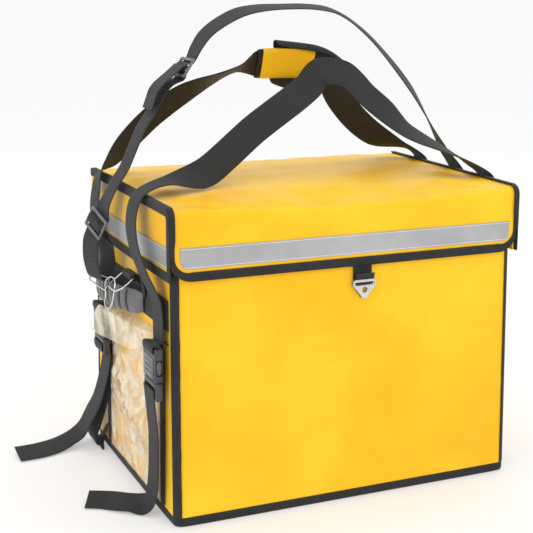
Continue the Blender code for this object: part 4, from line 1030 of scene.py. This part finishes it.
@dataclass
class Body:
    """The padded box: a shell of coated cloth over foam, open under the lid."""

    form: Form = FORM
    step: float = 0.009
    wall: float = 0.010
    turns: int = 4
    front_cells: int = 50
    side_cells: int = 35
    edge: float = 0.014
    foot: tuple[float, ...] = (0.0045, 0.009)
    tuck: float = 0.003
    inner: tuple[float, ...] = (0.25, 0.12)
    tight: float = 0.002
    skin: float = 0.004
    sewn: float = 0.016
    lid_line: float = 0.315
    band_z: float = 0.258
    band_half: float = 0.020

    def ring(self, z: float, grow: float) -> Row:
        """Closed outline of the body, which starts in the middle of a side.

        Args:
            z: The height.
            grow: How far it stands out from the cloth, less than nothing inside.
        Returns:
            The outline's points.
        """
        form = self.form
        half, front, back = form.side_x(z) + grow, form.front_y(z) - grow, form.back_y(z) + grow
        r = max(form.corner + grow, self.tight)
        corners = [(-half + r, front + r, pi), (half - r, front + r, 1.5 * pi),
                   (half - r, back - r, 0.0), (-half + r, back - r, 0.5 * pi)]
        points: Row = []
        for index, (cx, cy, start) in enumerate(corners):
            for turn in range(self.turns + 1):
                angle = start + 0.5 * pi * turn / self.turns
                points.append(Vector((cx + r * cos(angle), cy + r * sin(angle), z)))
            nx, ny, nstart = corners[(index + 1) % 4]
            last = points[-1]
            first = Vector((nx + r * cos(nstart), ny + r * sin(nstart), z))
            cells = self.side_cells if index % 2 else self.front_cells
            for cell in range(1, cells):
                point = last.lerp(first, cell / cells)
                if index % 2 == 0:
                    point.y += (-1 if index == 0 else 1) * self.puff(point.x, z)
                points.append(point)
        start = len(points) - self.side_cells // 2
        return points[start:] + points[:start]

    def puff(self, x: float, z: float) -> float:
        """How far a filled panel stands proud of its flat face.

        Args:
            x: The place across the panel.
            z: The height.
        Returns:
            The swell there.
        """
        form = self.form
        across = max(0.0, 1 - (x / (form.half_w - form.corner)) ** 2)
        return form.swell * sqrt(across) * max(0.0, 1 - (2 * z / form.high - 1) ** 2)

    def held(self, place: Vector) -> float:
        """How firmly a point is held: at the tapes, inside, and where pieces are sewn on.

        Args:
            place: The point.
        Returns:
            The hold, from 0 to 1.
        """
        form = self.form
        x, y, z = place
        front, back, side = form.front_y(z), form.back_y(z), form.side_x(z)
        outside = max(front - y, y - back, abs(x) - side)
        if outside < -self.skin or x < -side + self.skin:
            return 1.0
        if y < front + self.skin or y > back - self.skin:
            across = form.half_w - abs(x)
        else:
            across = min(y - front, back - y)
        border = min(across, z, (form.high if y > 0 else self.lid_line) - z)
        firm = 1 - ramp(border, self.edge, self.edge + self.sewn)
        if x > side - self.skin:
            firm = max(firm, 1 - ramp(abs(z - self.band_z), self.band_half, 1.5 * self.band_half))
        return firm

    def build(self) -> None:
        """Make the body, settle its cloth and dress it."""
        form = self.form
        count = round((form.high - self.edge) / self.step)
        heights = [*self.foot, *(self.edge + (form.high - self.edge) * k / count
                                 for k in range(count + 1))]
        rows = [self.ring(0.0, -self.tuck)] + [self.ring(z, 0.0) for z in heights]
        rows += [self.ring(z, -self.wall) for z in (form.high, *self.inner, self.wall)]
        mesh = as_mesh("body_shell_padded", sweep(rows, tube=True))
        Settling(slack=0.006, pressure=0.6, reach=0.0035).run(mesh, self.held)
        shade(mesh, 60)
        piece = collect(mesh.name, mesh, CLOTH, ["body_shell"])
        subdivide(piece, 1)
        LOG.info("body, %d rings", len(rows))


@dataclass
class CornerTapes:
    """Tape sewn over the four upright corners of the body."""

    body: Body
    low: float = 0.0118
    high: float = 0.368
    wall: float = 0.0012
    gap: float = 0.0003
    step: float = 0.006
    turns: int = 10
    start: float = 0.20
    spread: float = 0.60
    uneven: float = 0.0006

    def outline(self, z: float, grow: float, sx: int, sy: int) -> Row:
        """The tape's line round one corner, from the side to the front or back.

        Args:
            z: The height.
            grow: How far it stands out from the cloth.
            sx: -1 for a left corner, 1 for a right one.
            sy: -1 for a front corner, 1 for a back one.
        Returns:
            The line's points.
        """
        form = self.body.form
        r = form.corner + grow
        cx = sx * (form.side_x(z) - form.corner)
        edge = form.front_y(z) if sy < 0 else -form.back_y(z)
        cy = sy * (-edge - form.corner)
        points = []
        for turn in range(self.turns + 1):
            angle = pi / 2 * (self.start + self.spread * turn / self.turns)
            points.append(Vector((cx + sx * r * cos(angle), cy + sy * r * sin(angle), z)))
        return points

    def build(self) -> None:
        """Make the four tapes, a little uneven along their edges."""
        for sx, sy, name in ((-1, -1, "front_left"), (1, -1, "front_right"),
                             (-1, 1, "back_left"), (1, 1, "back_right")):
            rows = []
            count = round((self.high - self.low) / self.step)
            for k in range(count + 1):
                z = self.low + (self.high - self.low) * k / count
                outer = self.outline(z, self.gap + self.wall, sx, sy)
                inner = self.outline(z, self.gap, sx, sy)
                wave = self.uneven * noise.noise(Vector((z * 60, sx * 3.0, sy * 3.0)))
                outer[-1].x += wave
                inner[-1].x += wave
                rows.append(outer + inner[::-1])
            mesh = as_mesh("corner_tape_" + name + "_sewn", sweep(rows, tube=True))
            collect(mesh.name, mesh, TAPE, ["corner_tape_" + name])
            LOG.info("corner tape %s", name)


@dataclass
class Lid:
    """The padded lid: top, front flap and back edge in one sheet, bound at its corners."""

    form: Form = FORM
    step: float = 0.008
    wall: float = 0.003
    back_drop: float = 0.034
    leg: float = 0.0072
    bind_wall: float = 0.0012
    hem_wide: float = 0.0115
    hem_slim: float = 0.0052
    corner_steps: tuple[float, ...] = (0.0, 0.001, 0.003, 0.006, 0.010, 0.015, 0.020, 0.026)
    fold_z: float = 0.345

    def path(self, x: float, low: float | None = None) -> list[tuple[float, float, float, float]]:
        """Outer line of the lid at a place across it, from its back edge to its front hem.

        Args:
            x: The place.
            low: The height where it ends, if not at the hem.
        Returns:
            Each point's depth and height, and the outward direction there.
        """
        form = self.form
        small = form.nose / 2
        low = form.lid_hem + form.hem_rise(x) if low is None else low
        points = []
        for k in range(4):
            start = form.lid_top - self.back_drop
            points.append((form.lid_back, start + (self.back_drop - small) * k / 4))
        for k in range(4):
            angle = pi / 2 * k / 4
            points.append((form.lid_back - small * (1 - cos(angle)),
                           form.lid_top - small * (1 - sin(angle))))
        far = form.lid_back - small
        edge = form.lid_z(x, form.lid_front + form.nose)
        near = form.flap_face_y(edge) + form.nose
        cells = round((far - near) / self.step)
        points += [(y, form.lid_z(x, y)) for y in
                   (far + (near - far) * k / cells for k in range(cells))]
        for k in range(6):
            angle = pi / 2 * k / 6
            points.append((form.flap_face_y(edge) + form.nose * (1 - sin(angle)),
                           edge - form.nose * (1 - cos(angle))))
        shoulder = edge - form.nose
        for k in range(10):
            z = shoulder + (low - shoulder) * k / 9
            points.append((form.flap_face_y(z), z))
        made = []
        for index, (y, z) in enumerate(points):
            before, after = points[max(index - 1, 0)], points[min(index + 1, len(points) - 1)]
            ahead = Vector((after[0] - before[0], after[1] - before[1])).normalized()
            made.append((y, z, ahead.y, -ahead.x))
        return made

    def across(self) -> list[float]:
        """Places across the lid, close together at its round corners.

        Returns:
            The places, from left to right.
        """
        half = self.form.lid_half - self.form.gap
        ends = self.corner_steps
        inner = half - ends[-1]
        cells = round(2 * inner / self.step)
        middle = [-inner + 2 * inner * k / cells for k in range(1, cells)]
        return [-half + e for e in ends] + middle + [half - e for e in reversed(ends)]

    def crease(self, x: float, y: float, z: float) -> float:
        """Height of the lid's long soft creases, which run along its front fold.

        Args:
            x: The place across the lid.
            y: The place along its depth.
            z: The height.
        Returns:
            How far the cloth stands out there.
        """
        long = noise.noise(Vector((x * 5, y * 24, z * 24)))
        short = noise.noise(Vector((x * 17 + 9, y * 30, z * 30)))
        corner = ramp(abs(x), 0.10, 0.20) * ramp(-y, 0.02, 0.12)
        slant = noise.noise(Vector((x * 30 + y * 30, y * 9, 4.0)))
        border = ramp(self.form.lid_half - abs(x), 0.004, 0.030)
        return border * (0.0017 * long + 0.0005 * short + 0.0012 * corner * slant)

    def held(self, place: Vector) -> float:
        """How firmly a point is held: at the bound edges and at the tapes.

        Args:
            place: The point.
        Returns:
            The hold, from 0 to 1.
        """
        form = self.form
        x, y, z = place
        rim = form.lid_half - abs(x)
        firm = 1 - ramp(rim, 0.008, 0.024)
        front = y < form.flap_face_y(z) + 0.002
        if front and z < 0.372:
            firm = max(firm, 1 - ramp(z, 0.346, 0.356))
        if y > form.lid_back - 0.004:
            firm = 1.0
        inner = form.lid_z(x, y) - z > self.wall * 0.5 and not front
        return 1.0 if inner and z > 0.36 else firm

    def build(self) -> None:
        """Make the lid's sheet, its corner bindings and hem tape."""
        places = self.across()
        lines = [self.path(x) for x in places]
        rows = []
        for index in range(len(lines[0])):
            outer, inner = [], []
            for x, line in zip(places, lines):
                y, z, ny, nz = line[index]
                soft = z > self.fold_z and y < self.form.lid_back - 0.006
                lift = self.crease(x, y, z) if soft else 0.0
                outer.append(Vector((x, y + ny * lift, z + nz * lift)))
                inner.append(Vector((x, y - ny * self.wall, z - nz * self.wall)))
            rows.append(outer + inner[::-1])
        mesh = as_mesh("lid_panel_padded", sweep(rows, tube=True))
        Settling(slack=0.007, pressure=0.8, reach=0.003).run(mesh, self.held)
        shade(mesh, 60)
        piece = collect(mesh.name, mesh, CLOTH, ["lid_panel"])
        subdivide(piece, 1)
        LOG.info("lid, %d rows", len(rows))
        self.bind(-1, "left")
        self.bind(1, "right")
        self.hem()

    def bind(self, side: int, name: str) -> None:
        """Tape folded over one corner of the lid: up the front and back along the top.

        Args:
            side: -1 for the left corner, 1 for the right one.
            name: The corner's name.
        """
        form = self.form
        half = form.lid_half - form.gap
        back_points = 8
        line = self.path(half, form.lid_hem + 0.0006)[back_points:]
        rows = []
        for y, z, ny, nz in line:
            out = form.flap_x(y, z) - half + self.bind_wall + 2 * form.gap
            upright = ramp(0.352 - z, 0.0, 0.014) if ny < -0.7 else 0.0
            top = self.leg * (0.85 - 0.25 * upright)
            if ny < -0.7 and z < form.lid_hem + form.flap_corner:
                top = -0.0004
            shape = ((-top, 0.0017), (-top + 0.0003, 0.0028), (out - 0.0014, 0.0027),
                     (out - 0.0004, 0.0019), (out, 0.0004), (out, -self.leg),
                     (out - self.bind_wall, -self.leg), (out - self.bind_wall, 0.0012))
            row = [Vector((side * (half + e), y + ny * n, z + nz * n)) for e, n in shape]
            rows.append(row)
        mesh = as_mesh("lid_binding_" + name, sweep(rows, tube=True))
        collect(mesh.name, mesh, TAPE, ["lid_piping_" + name])
        LOG.info("binding %s", name)

    def hem(self) -> None:
        """Tape round the front flap: narrow up its sides, wide along its hem."""
        form = self.form
        wide, slim = self.hem_wide, self.hem_slim
        half = form.lid_half - form.gap
        top = form.lid_top - form.nose
        path: list[tuple[float, float, float]] = []
        for k in range(7):
            drop = (form.lid_hem + form.flap_corner - top) * k / 6
            path.append((-half + slim / 2, top + drop, slim))
        for k in range(1, 11):
            angle = pi / 2 * k / 10
            width = slim + (wide - slim) * k / 10
            radius = form.flap_corner - width / 2
            path.append((-half + form.flap_corner - radius * cos(angle),
                         form.lid_hem + form.flap_corner - radius * sin(angle), width))
        flat = form.lid_hem + wide / 2
        inner = half - form.flap_corner
        path += [(-inner + 2 * inner * k / 56, flat, wide) for k in range(1, 56)]
        path += [(-x, z, width) for x, z, width in reversed(path[:17])]
        rows = []
        for index, (x, z, width) in enumerate(path):
            before, after = path[max(index - 1, 0)], path[min(index + 1, len(path) - 1)]
            ahead = Vector((after[0] - before[0], after[1] - before[1])).normalized()
            row = []
            for share, lift in ((-1, 0.0), (-1, 0.8), (-0.86, 1.0), (0.0, 1.12), (0.86, 1.0),
                                (1, 0.8), (1, 0.0)):
                px, pz = x - ahead.y * share * width / 2, z + ahead.x * share * width / 2
                wave = 1 + 0.12 * noise.noise(Vector((px * 60, pz * 60, 2.0)))
                py = form.flap_face_y(pz) - form.gap - lift * self.bind_wall * wave
                row.append(Vector((px, py, pz)))
            rows.append(row)
        mesh = as_mesh("lid_front_hem_bound", sweep(rows, tube=True))
        piece = collect(mesh.name, mesh, TAPE, ["lid_front_hem"])
        subdivide(piece, 1)


@dataclass
class Pocket:
    """The clear film pocket on the left side."""

    form: Form = FORM
    front: float = -0.1137
    back: float = 0.0947
    low: float = 0.0118
    mouth: float = 0.210
    wall: float = 0.0006
    swell: float = 0.0062
    step: float = 0.0034
    near: float = 0.0012
    far: float = 0.0125

    def full(self, y: float, z: float) -> float:
        """How far the film stands off its flat place.

        Args:
            y: The place along the side.
            z: The height.
        Returns:
            The distance.
        """
        along = ramp(y, self.front, self.back)
        up = ramp(z, self.low, self.mouth)
        wave = noise.noise(Vector((y * 21, z * 13, 1.0))) + 0.5 * noise.noise(
            Vector((y * 55 + z * 40, z * 30 - y * 20, 5.0)))
        edge = (sin(pi * along) * sin(pi * (0.86 * up))) ** 0.6 if up > 0 else 0.0
        return max(0.0, edge * (self.swell * (0.55 + 0.55 * wave)))

    def held(self, place: Vector) -> float:
        """How firmly the film is held at its three sewn edges."""
        border = min(place.y - self.front, self.back - place.y, place.z - self.low)
        return 1 - ramp(border, 0.0015, 0.012)

    def build(self) -> None:
        """Make the film, let it buckle, and stand it for its solid."""
        across = round((self.back - self.front) / self.step)
        tall = round((self.mouth - self.low) / self.step)
        rows = []
        for i in range(across + 1):
            y = self.front + (self.back - self.front) * i / across
            row = []
            for k in range(tall + 1):
                z = self.low + (self.mouth - self.low) * k / tall
                row.append(Vector((-(self.form.side_x(z) + 0.0014 + self.full(y, z)), y, z)))
            rows.append(row)
        mesh = as_mesh("pocket_film_creased", sweep(rows))
        Settling(slack=0.03, pressure=0.0, reach=0.006, stiff=40, bend=0.05).run(mesh, self.held)
        for vertex in mesh.vertices:
            side = self.form.side_x(vertex.co.z)
            vertex.co.x = max(min(vertex.co.x, -(side + self.near)), -(side + self.far))
        shade(mesh, 80)
        piece = collect(mesh.name, mesh, Film("pocket_film_clear", 0.16).make(),
                        ["pocket_film"])
        wall = piece.modifiers.new("wall", "SOLIDIFY")
        wall.thickness = self.wall
        wall.offset = 0
        LOG.info("pocket film, %d rows", len(rows))


@dataclass
class SideGrip:
    """The moulded side grip: a rounded bow with a row of crescent slits."""

    form: Form = FORM
    length: float = 0.186
    middle_y: float = 0.034
    top: float = 0.254
    height: float = 0.031
    wall: float = 0.0075
    reach: float = 0.0198
    end: float = 0.35
    drop: float = 0.012
    band: float = 0.0024
    slits: int = 9
    first_slit: float = 0.13
    slit_run: float = 0.72
    slit_bend: float = 0.016
    slit_half: float = 0.0165
    slit_depth: float = 0.0030
    stations: int = 200
    corners: int = 36

    def centre(self, share: float) -> Vector:
        """Middle of the grip's section.

        Args:
            share: How far along the grip it is, from 0 to 1.
        Returns:
            The point.
        """
        y = self.middle_y + self.length * (share - 0.5)
        z = self.top - self.drop * share
        seat = self.form.side_x(z) + self.band + self.wall / 2 * self.end
        bow = sin(pi * share) ** 0.7 if 0 < share < 1 else 0.0
        return Vector((-(seat + self.reach * bow), y, z))

    def groove(self, share: float, up: float) -> float:
        """How deep a slit is at a place.

        Args:
            share: How far along the grip it is, from 0 to 1.
            up: How far up its face, from -1 to 1.
        Returns:
            The depth as a share of a slit's own, from 0 to 1.
        """
        bend = self.slit_bend * (1 - up * up)
        fade = max(0.0, 1 - abs(up) ** 5)
        deepest = 0.0
        for slit in range(self.slits):
            middle = self.first_slit + self.slit_run * slit / (self.slits - 1) + bend
            off = abs(share - middle) / self.slit_half
            deepest = max(deepest, ramp(1 - off, 0.0, 0.4))
        return deepest * fade

    def build(self) -> None:
        """Make the grip and stand it for its solid."""
        rows, depths = [], []
        for index in range(self.stations + 1):
            share = index / self.stations
            ahead = (self.centre(min(share + 0.01, 1)) - self.centre(max(share - 0.01, 0)))
            ahead.normalize()
            out = Vector((0, 0, 1)).cross(ahead).normalized()
            up = ahead.cross(out)
            taper = min(ramp(share, -0.012, 0.05), ramp(1 - share, -0.012, 0.05))
            thick = self.wall / 2 * (self.end + (1 - self.end) * taper)
            tall = self.height / 2 * (0.72 + 0.28 * taper)
            row = []
            for corner in range(self.corners):
                angle = 2 * pi * corner / self.corners
                across, deep = cos(angle), sin(angle)
                v = (abs(across) ** 0.55) * (1 if across > 0 else -1)
                w = (abs(deep) ** 0.75) * (1 if deep > 0 else -1)
                cut = self.groove(share, v) if w > 0.15 else 0.0
                depths.append(cut)
                row.append(self.centre(share) + up * tall * v
                           + out * (thick * w - self.slit_depth * cut))
            rows.append(row)
        mesh = as_mesh("side_grip_slit", sweep(rows, tube=True))
        layer = mesh.attributes.new("groove", "FLOAT", "POINT")
        places = KDTree(len(depths))
        for index, point in enumerate(point for row in rows for point in row):
            places.insert(point, index)
        places.balance()
        for vertex in mesh.vertices:
            layer.data[vertex.index].value = depths[places.find(vertex.co)[1]]
        collect(mesh.name, mesh, GRIP_RUBBER, ["side_grip"])
        LOG.info("side grip, %d slits", self.slits)


@dataclass
class Stitches:
    """Rows of raised stitches along sewn tapes."""

    pitch: float = 0.0042
    share: float = 0.66
    radius: float = 0.00036
    pale_rows: tuple[float, float] = (0.3186, 0.3404)
    pale_half: float = 0.2215
    pale_lift: float = 0.0010
    hem_row: float = 0.3118
    hem_half: float = 0.205
    dark_lift: float = 0.0016
    foot_row: float = 0.0100
    foot_half: float = 0.22
    side_half: float = 0.150
    corner_turn: float = 63
    corner_rows: tuple[float, float] = (0.015, 0.300)
    band_rows: tuple[float, float] = (0.2418, 0.2742)
    band_ends: tuple[tuple[float, float], ...] = ((-0.141, -0.112), (0.115, 0.146))
    band_lift: float = 0.0021
    side_start: float = -0.150
    side_run: float = 0.307
    side_cells: int = 6

    def lay(self, bm: bmesh.types.BMesh, start: Point, end: Point, out: Point) -> None:
        """Add one straight row.

        Args:
            bm: Where the stitches go.
            start: The first stitch.
            end: The last stitch.
            out: Which way they stand off the cloth.
        """
        first, last, lift = Vector(start), Vector(end), Vector(out).normalized()
        ahead = (last - first).normalized()
        turn = Matrix((ahead, lift.cross(ahead), lift)).transposed().to_4x4()
        size = Matrix.Diagonal((self.pitch * self.share / 2, self.radius, self.radius, 1))
        count = int((last - first).length / self.pitch)
        for index in range(count):
            place = first + ahead * self.pitch * (index + 0.5)
            bmesh.ops.create_icosphere(bm, subdivisions=1, radius=1.0,
                                       matrix=Matrix.Translation(place) @ turn @ size)

    def side_rows(self, bm: bmesh.types.BMesh, sign: int, heights: Sequence[float],
                  lift: float) -> None:
        """Rows along a side flap.

        Args:
            bm: Where the stitches go.
            sign: -1 for the left flap, 1 for the right one.
            heights: The rows' heights.
            lift: How far they stand off the flap.
        """
        for z in heights:
            places = [self.side_start + self.side_run * k / self.side_cells
                      for k in range(self.side_cells + 1)]
            for near, far in zip(places, places[1:]):
                self.lay(bm, (sign * (FORM.flap_x(near, z) + lift), near, z),
                         (sign * (FORM.flap_x(far, z) + lift), far, z), (sign, 0, 0))

    def build(self) -> None:
        """Make the pale rows on the reflective bands and the dark rows on the tapes."""
        form = FORM
        pale, dark = bmesh.new(), bmesh.new()
        for z in self.pale_rows:
            y = form.flap_face_y(z) - self.pale_lift
            self.lay(pale, (-self.pale_half, y, z), (self.pale_half, y, z), (0, -1, 0))
        for sign in (-1, 1):
            self.side_rows(pale, sign, self.pale_rows, self.pale_lift)
            self.side_rows(dark, sign, (self.hem_row,), self.dark_lift)
        foot, turn = self.foot_row, radians(self.corner_turn)
        radius = form.corner + self.dark_lift
        for half, z, y, out in (
                (self.hem_half, self.hem_row, form.flap_face_y(self.hem_row) - self.dark_lift, -1),
                (self.foot_half, foot, form.front_y(foot) - self.dark_lift, -1),
                (self.foot_half, foot, form.back_y(foot) + self.dark_lift, 1)):
            self.lay(dark, (-half, y, z), (half, y, z), (0, out, 0))
        for sign in (-1, 1):
            low, high = [(sign * (form.side_x(z) - form.corner + radius * cos(turn)),
                          form.front_y(z) + form.corner - radius * sin(turn), z)
                         for z in self.corner_rows]
            self.lay(dark, low, high, (sign * cos(turn), -sin(turn), 0))
            x = sign * (form.side_x(foot) + self.dark_lift)
            self.lay(dark, (x, -self.side_half, foot), (x, self.side_half, foot), (sign, 0, 0))
            for z in self.band_rows:
                x = sign * (form.side_x(z) + self.band_lift)
                for near, far in self.band_ends:
                    self.lay(dark, (x, near, z), (x, far, z), (sign, 0, 0))
        for name, bm, thread in (("reflector_stitches", pale, PALE_THREAD),
                                 ("tape_stitches", dark, THREAD)):
            mesh = as_mesh(name, bm)
            collect(name, mesh, thread, [])
            LOG.info("%s, %d faces", name, len(mesh.polygons))


@dataclass
class Buckles:
    """Side release buckles: dressed solids with rounded release prongs."""

    width: float = 0.047
    seat: float = 0.0078
    wall: float = 0.0110
    button: Point = (0.0034, 0.0030, 0.0088)
    button_drop: float = 0.0245
    button_inset: float = 0.0014
    taper: float = 0.22
    pad: Point = (0.0016, 0.034, 0.026)
    pad_drop: float = 0.0262
    rib: Point = (0.0010, 0.022, 0.0017)
    rib_pitch: float = 0.0067
    places: tuple[tuple[str, float, float], ...] = (
        ("buckle_front", -0.124, 0.221), ("buckle_back", 0.094, 0.214))

    def prongs(self, name: str, y: float, top: float) -> None:
        """The teardrop buttons that show in a buckle's side windows.

        Args:
            name: The buckle's name.
            y: Its place along the side.
            top: Its upper edge.
        """
        middle = -(FORM.side_x(top) + self.seat + self.wall / 2)
        bm = bmesh.new()
        for sign in (-1, 1):
            made = bmesh.ops.create_uvsphere(bm, u_segments=20, v_segments=14, radius=1.0)
            for vert in made["verts"]:
                point = vert.co
                point.x *= 1 + self.taper * point.z
            across = y + sign * (self.width / 2 - self.button_inset)
            bmesh.ops.transform(bm, verts=made["verts"], matrix=Matrix.Translation(
                (middle, across, top - self.button_drop)) @ Matrix.Diagonal((*self.button, 1)))
        mesh = as_mesh(name + "_prongs", bm)
        collect(mesh.name, mesh, PRONG_PLASTIC, [])

    def face(self, name: str, y: float, top: float) -> None:
        """The pad with three ribs on a socket's outer face.

        Args:
            name: The buckle's name.
            y: Its place along the side.
            top: Its upper edge.
        """
        outer = -(FORM.side_x(top) + self.seat + self.wall)
        middle = top - self.pad_drop
        bm = bmesh.new()
        bmesh.ops.create_cube(bm, size=1.0, matrix=Matrix.Translation(
            (outer - 0.0002, y, middle)) @ Matrix.Diagonal((*self.pad, 1)))
        bmesh.ops.bevel(bm, geom=list(bm.edges), offset=0.0007, segments=3, profile=0.5,
                        affect="EDGES", material=-1, clamp_overlap=True)
        for step in (1, 0, -1):
            bmesh.ops.create_cube(bm, size=1.0, matrix=Matrix.Translation(
                (outer - 0.0012, y, middle + step * self.rib_pitch))
                @ Matrix.Diagonal((*self.rib, 1)))
        mesh = as_mesh(name + "_face", bm)
        collect(mesh.name, mesh, PRONG_PLASTIC, [])

    def build(self) -> None:
        """Dress both buckles."""
        Trim(DARK_PLASTIC, "moulded", 0.0009).dress(
            "buckle_front_socket", "buckle_front_plug", "buckle_back_socket", "buckle_back_plug")
        for place in self.places:
            self.prongs(*place)
            self.face(*place)
            LOG.info("buttons and face of %s", place[0])


@dataclass(frozen=True)
class Lamp:
    """A soft square light: where it hangs, what it points at, its side and its watts."""

    name: str
    place: Point
    aim: Point
    size: float
    power: float


@dataclass
class Studio:
    """Pale floor, soft light and the camera of the photograph."""

    place: Point = (-0.67436, -1.42228, 0.64609)
    azimuth: float = -23.85
    elevation: float = 13.62
    roll: float = 0.575
    lens: float = 81.05
    sensor: float = 36
    floor_half: float = 6.0
    floor_drop: float = 0.0004
    floor_tone: float = 0.62
    floor_glow: float = 0.34
    sky: float = 0.95
    lamps: tuple[Lamp, ...] = (
        Lamp("key", (-0.5, -2.2, 2.0), (0, 0, 0.2), 1.4, 9),
        Lamp("right", (2.4, -1.2, 1.4), (0, 0, 0.2), 1.4, 5),
        Lamp("top", (0.2, 0.6, 2.6), (0, 0, 0.3), 1.8, 8),
        Lamp("left", (-2.2, -0.9, 1.0), (-0.2, 0, 0.2), 1.0, 6))

    def camera(self) -> None:
        """Put the camera where the photograph was taken from."""
        turn, rise = radians(self.azimuth), radians(self.elevation)
        back = Vector((sin(turn) * cos(rise), -cos(turn) * cos(rise), sin(rise)))
        right = Vector((0, 0, 1)).cross(back).normalized()
        up = back.cross(right)
        lean = radians(self.roll)
        right, up = right * cos(lean) + up * sin(lean), up * cos(lean) - right * sin(lean)
        lens = bpy.data.cameras.new("camera")
        lens.lens = self.lens
        lens.sensor_width = self.sensor
        lens.sensor_fit = "HORIZONTAL"
        lens.dof.use_dof = False
        eye = bpy.data.objects.new("camera", lens)
        turned = Matrix((right, up, back)).transposed().to_4x4()
        eye.matrix_world = Matrix.Translation(Vector(self.place)) @ turned
        bpy.context.scene.collection.objects.link(eye)
        bpy.context.scene.camera = eye

    def light(self, lamp: Lamp) -> None:
        """Add one light.

        Args:
            lamp: Its sizes and place.
        """
        light = bpy.data.lights.new(lamp.name, "AREA")
        light.shape = "SQUARE"
        light.size = lamp.size
        light.energy = lamp.power
        piece = bpy.data.objects.new(lamp.name, light)
        away = (Vector(lamp.place) - Vector(lamp.aim)).normalized()
        piece.matrix_world = (Matrix.Translation(Vector(lamp.place))
                              @ away.to_track_quat("Z", "Y").to_matrix().to_4x4())
        bpy.context.scene.collection.objects.link(piece)

    def build(self) -> None:
        """Make the camera, the floor, the world and the lights."""
        self.camera()
        bpy.context.scene.view_settings.view_transform = "Standard"
        bm = bmesh.new()
        bmesh.ops.create_grid(bm, x_segments=2, y_segments=2, size=self.floor_half,
                              matrix=Matrix.Translation((0, 0, -self.floor_drop)))
        floor = bpy.data.objects.new("floor", as_mesh("floor", bm))
        sheet = ShaderSheet("floor_paper")
        sheet.set(Base_Color=rgba((self.floor_tone,) * 3), Roughness=0.9,
                  Emission_Color=rgba((1.0, 1.0, 1.0)), Emission_Strength=self.floor_glow)
        floor.data.materials.append(sheet.material)
        bpy.context.scene.collection.objects.link(floor)
        world = bpy.data.worlds.new("studio")
        world.use_nodes = True
        sky = world.node_tree.nodes["Background"].inputs
        sky["Color"].default_value = (1, 1, 1, 1)
        sky["Strength"].default_value = self.sky
        bpy.context.scene.world = world
        for lamp in self.lamps:
            self.light(lamp)


def main() -> None:
    """Build and dress every piece in order."""
    logging.basicConfig(level=logging.INFO, format="%(message)s")
    body = Body()
    for part in (body, CornerTapes(body), Lid(), Pocket(), SideGrip(), Straps(), Stitches(),
                 Buckles()):
        part.build()
    sides = Trim(CLOTH, "tarpaulin", 0.0, 2)
    for piece in sides.dress("lid_flap_left", "lid_flap_right"):
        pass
    for piece in sides.dress("handle_wrap"):
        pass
    Trim(TAPE, "tape", 0.0, 2, 60).dress(
        "bottom_tape", "lid_hem_left", "lid_hem_right", "pocket_tape_front",
        "pocket_tape_back", "wrap_binding_left", "wrap_binding_right")
    Trim(BAND_Y, "webbing", 0.0004).dress("side_band_left", "side_band_right")
    for node, size in (("wrap_flap_upper", (0.098, 0.035)), ("wrap_flap_lower", (0.062, 0.028))):
        for piece in Trim(TAPE, "webbing", 0.0, 2).dress(node):
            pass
    low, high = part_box("reflector_front")
    for node, run in (("reflector_front", Along.X), ("reflector_left", Along.Y),
                      ("reflector_right", Along.Y)):
        finish = Reflective(node + "_tape", run, low[2], high[2]).make()
        Trim(finish, "reflective", 0.0, 0).dress(node)
    Trim(GREY_PLASTIC, "moulded", 0.0010).dress("lower_slider", "upper_slider")
    Trim(METAL, "chrome", 0.0, 2, 70).dress("d_ring", "strap_ring", "snap_hook")
    Trim(METAL, "chrome", 0.0003).dress("pull_plate")
    for piece in Trim(Film("pocket_flap_clear", 0.14).make(), "film", 0.0, 2).dress("pocket_flap"):
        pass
    Studio().build()


if __name__ == "__main__":
    main()
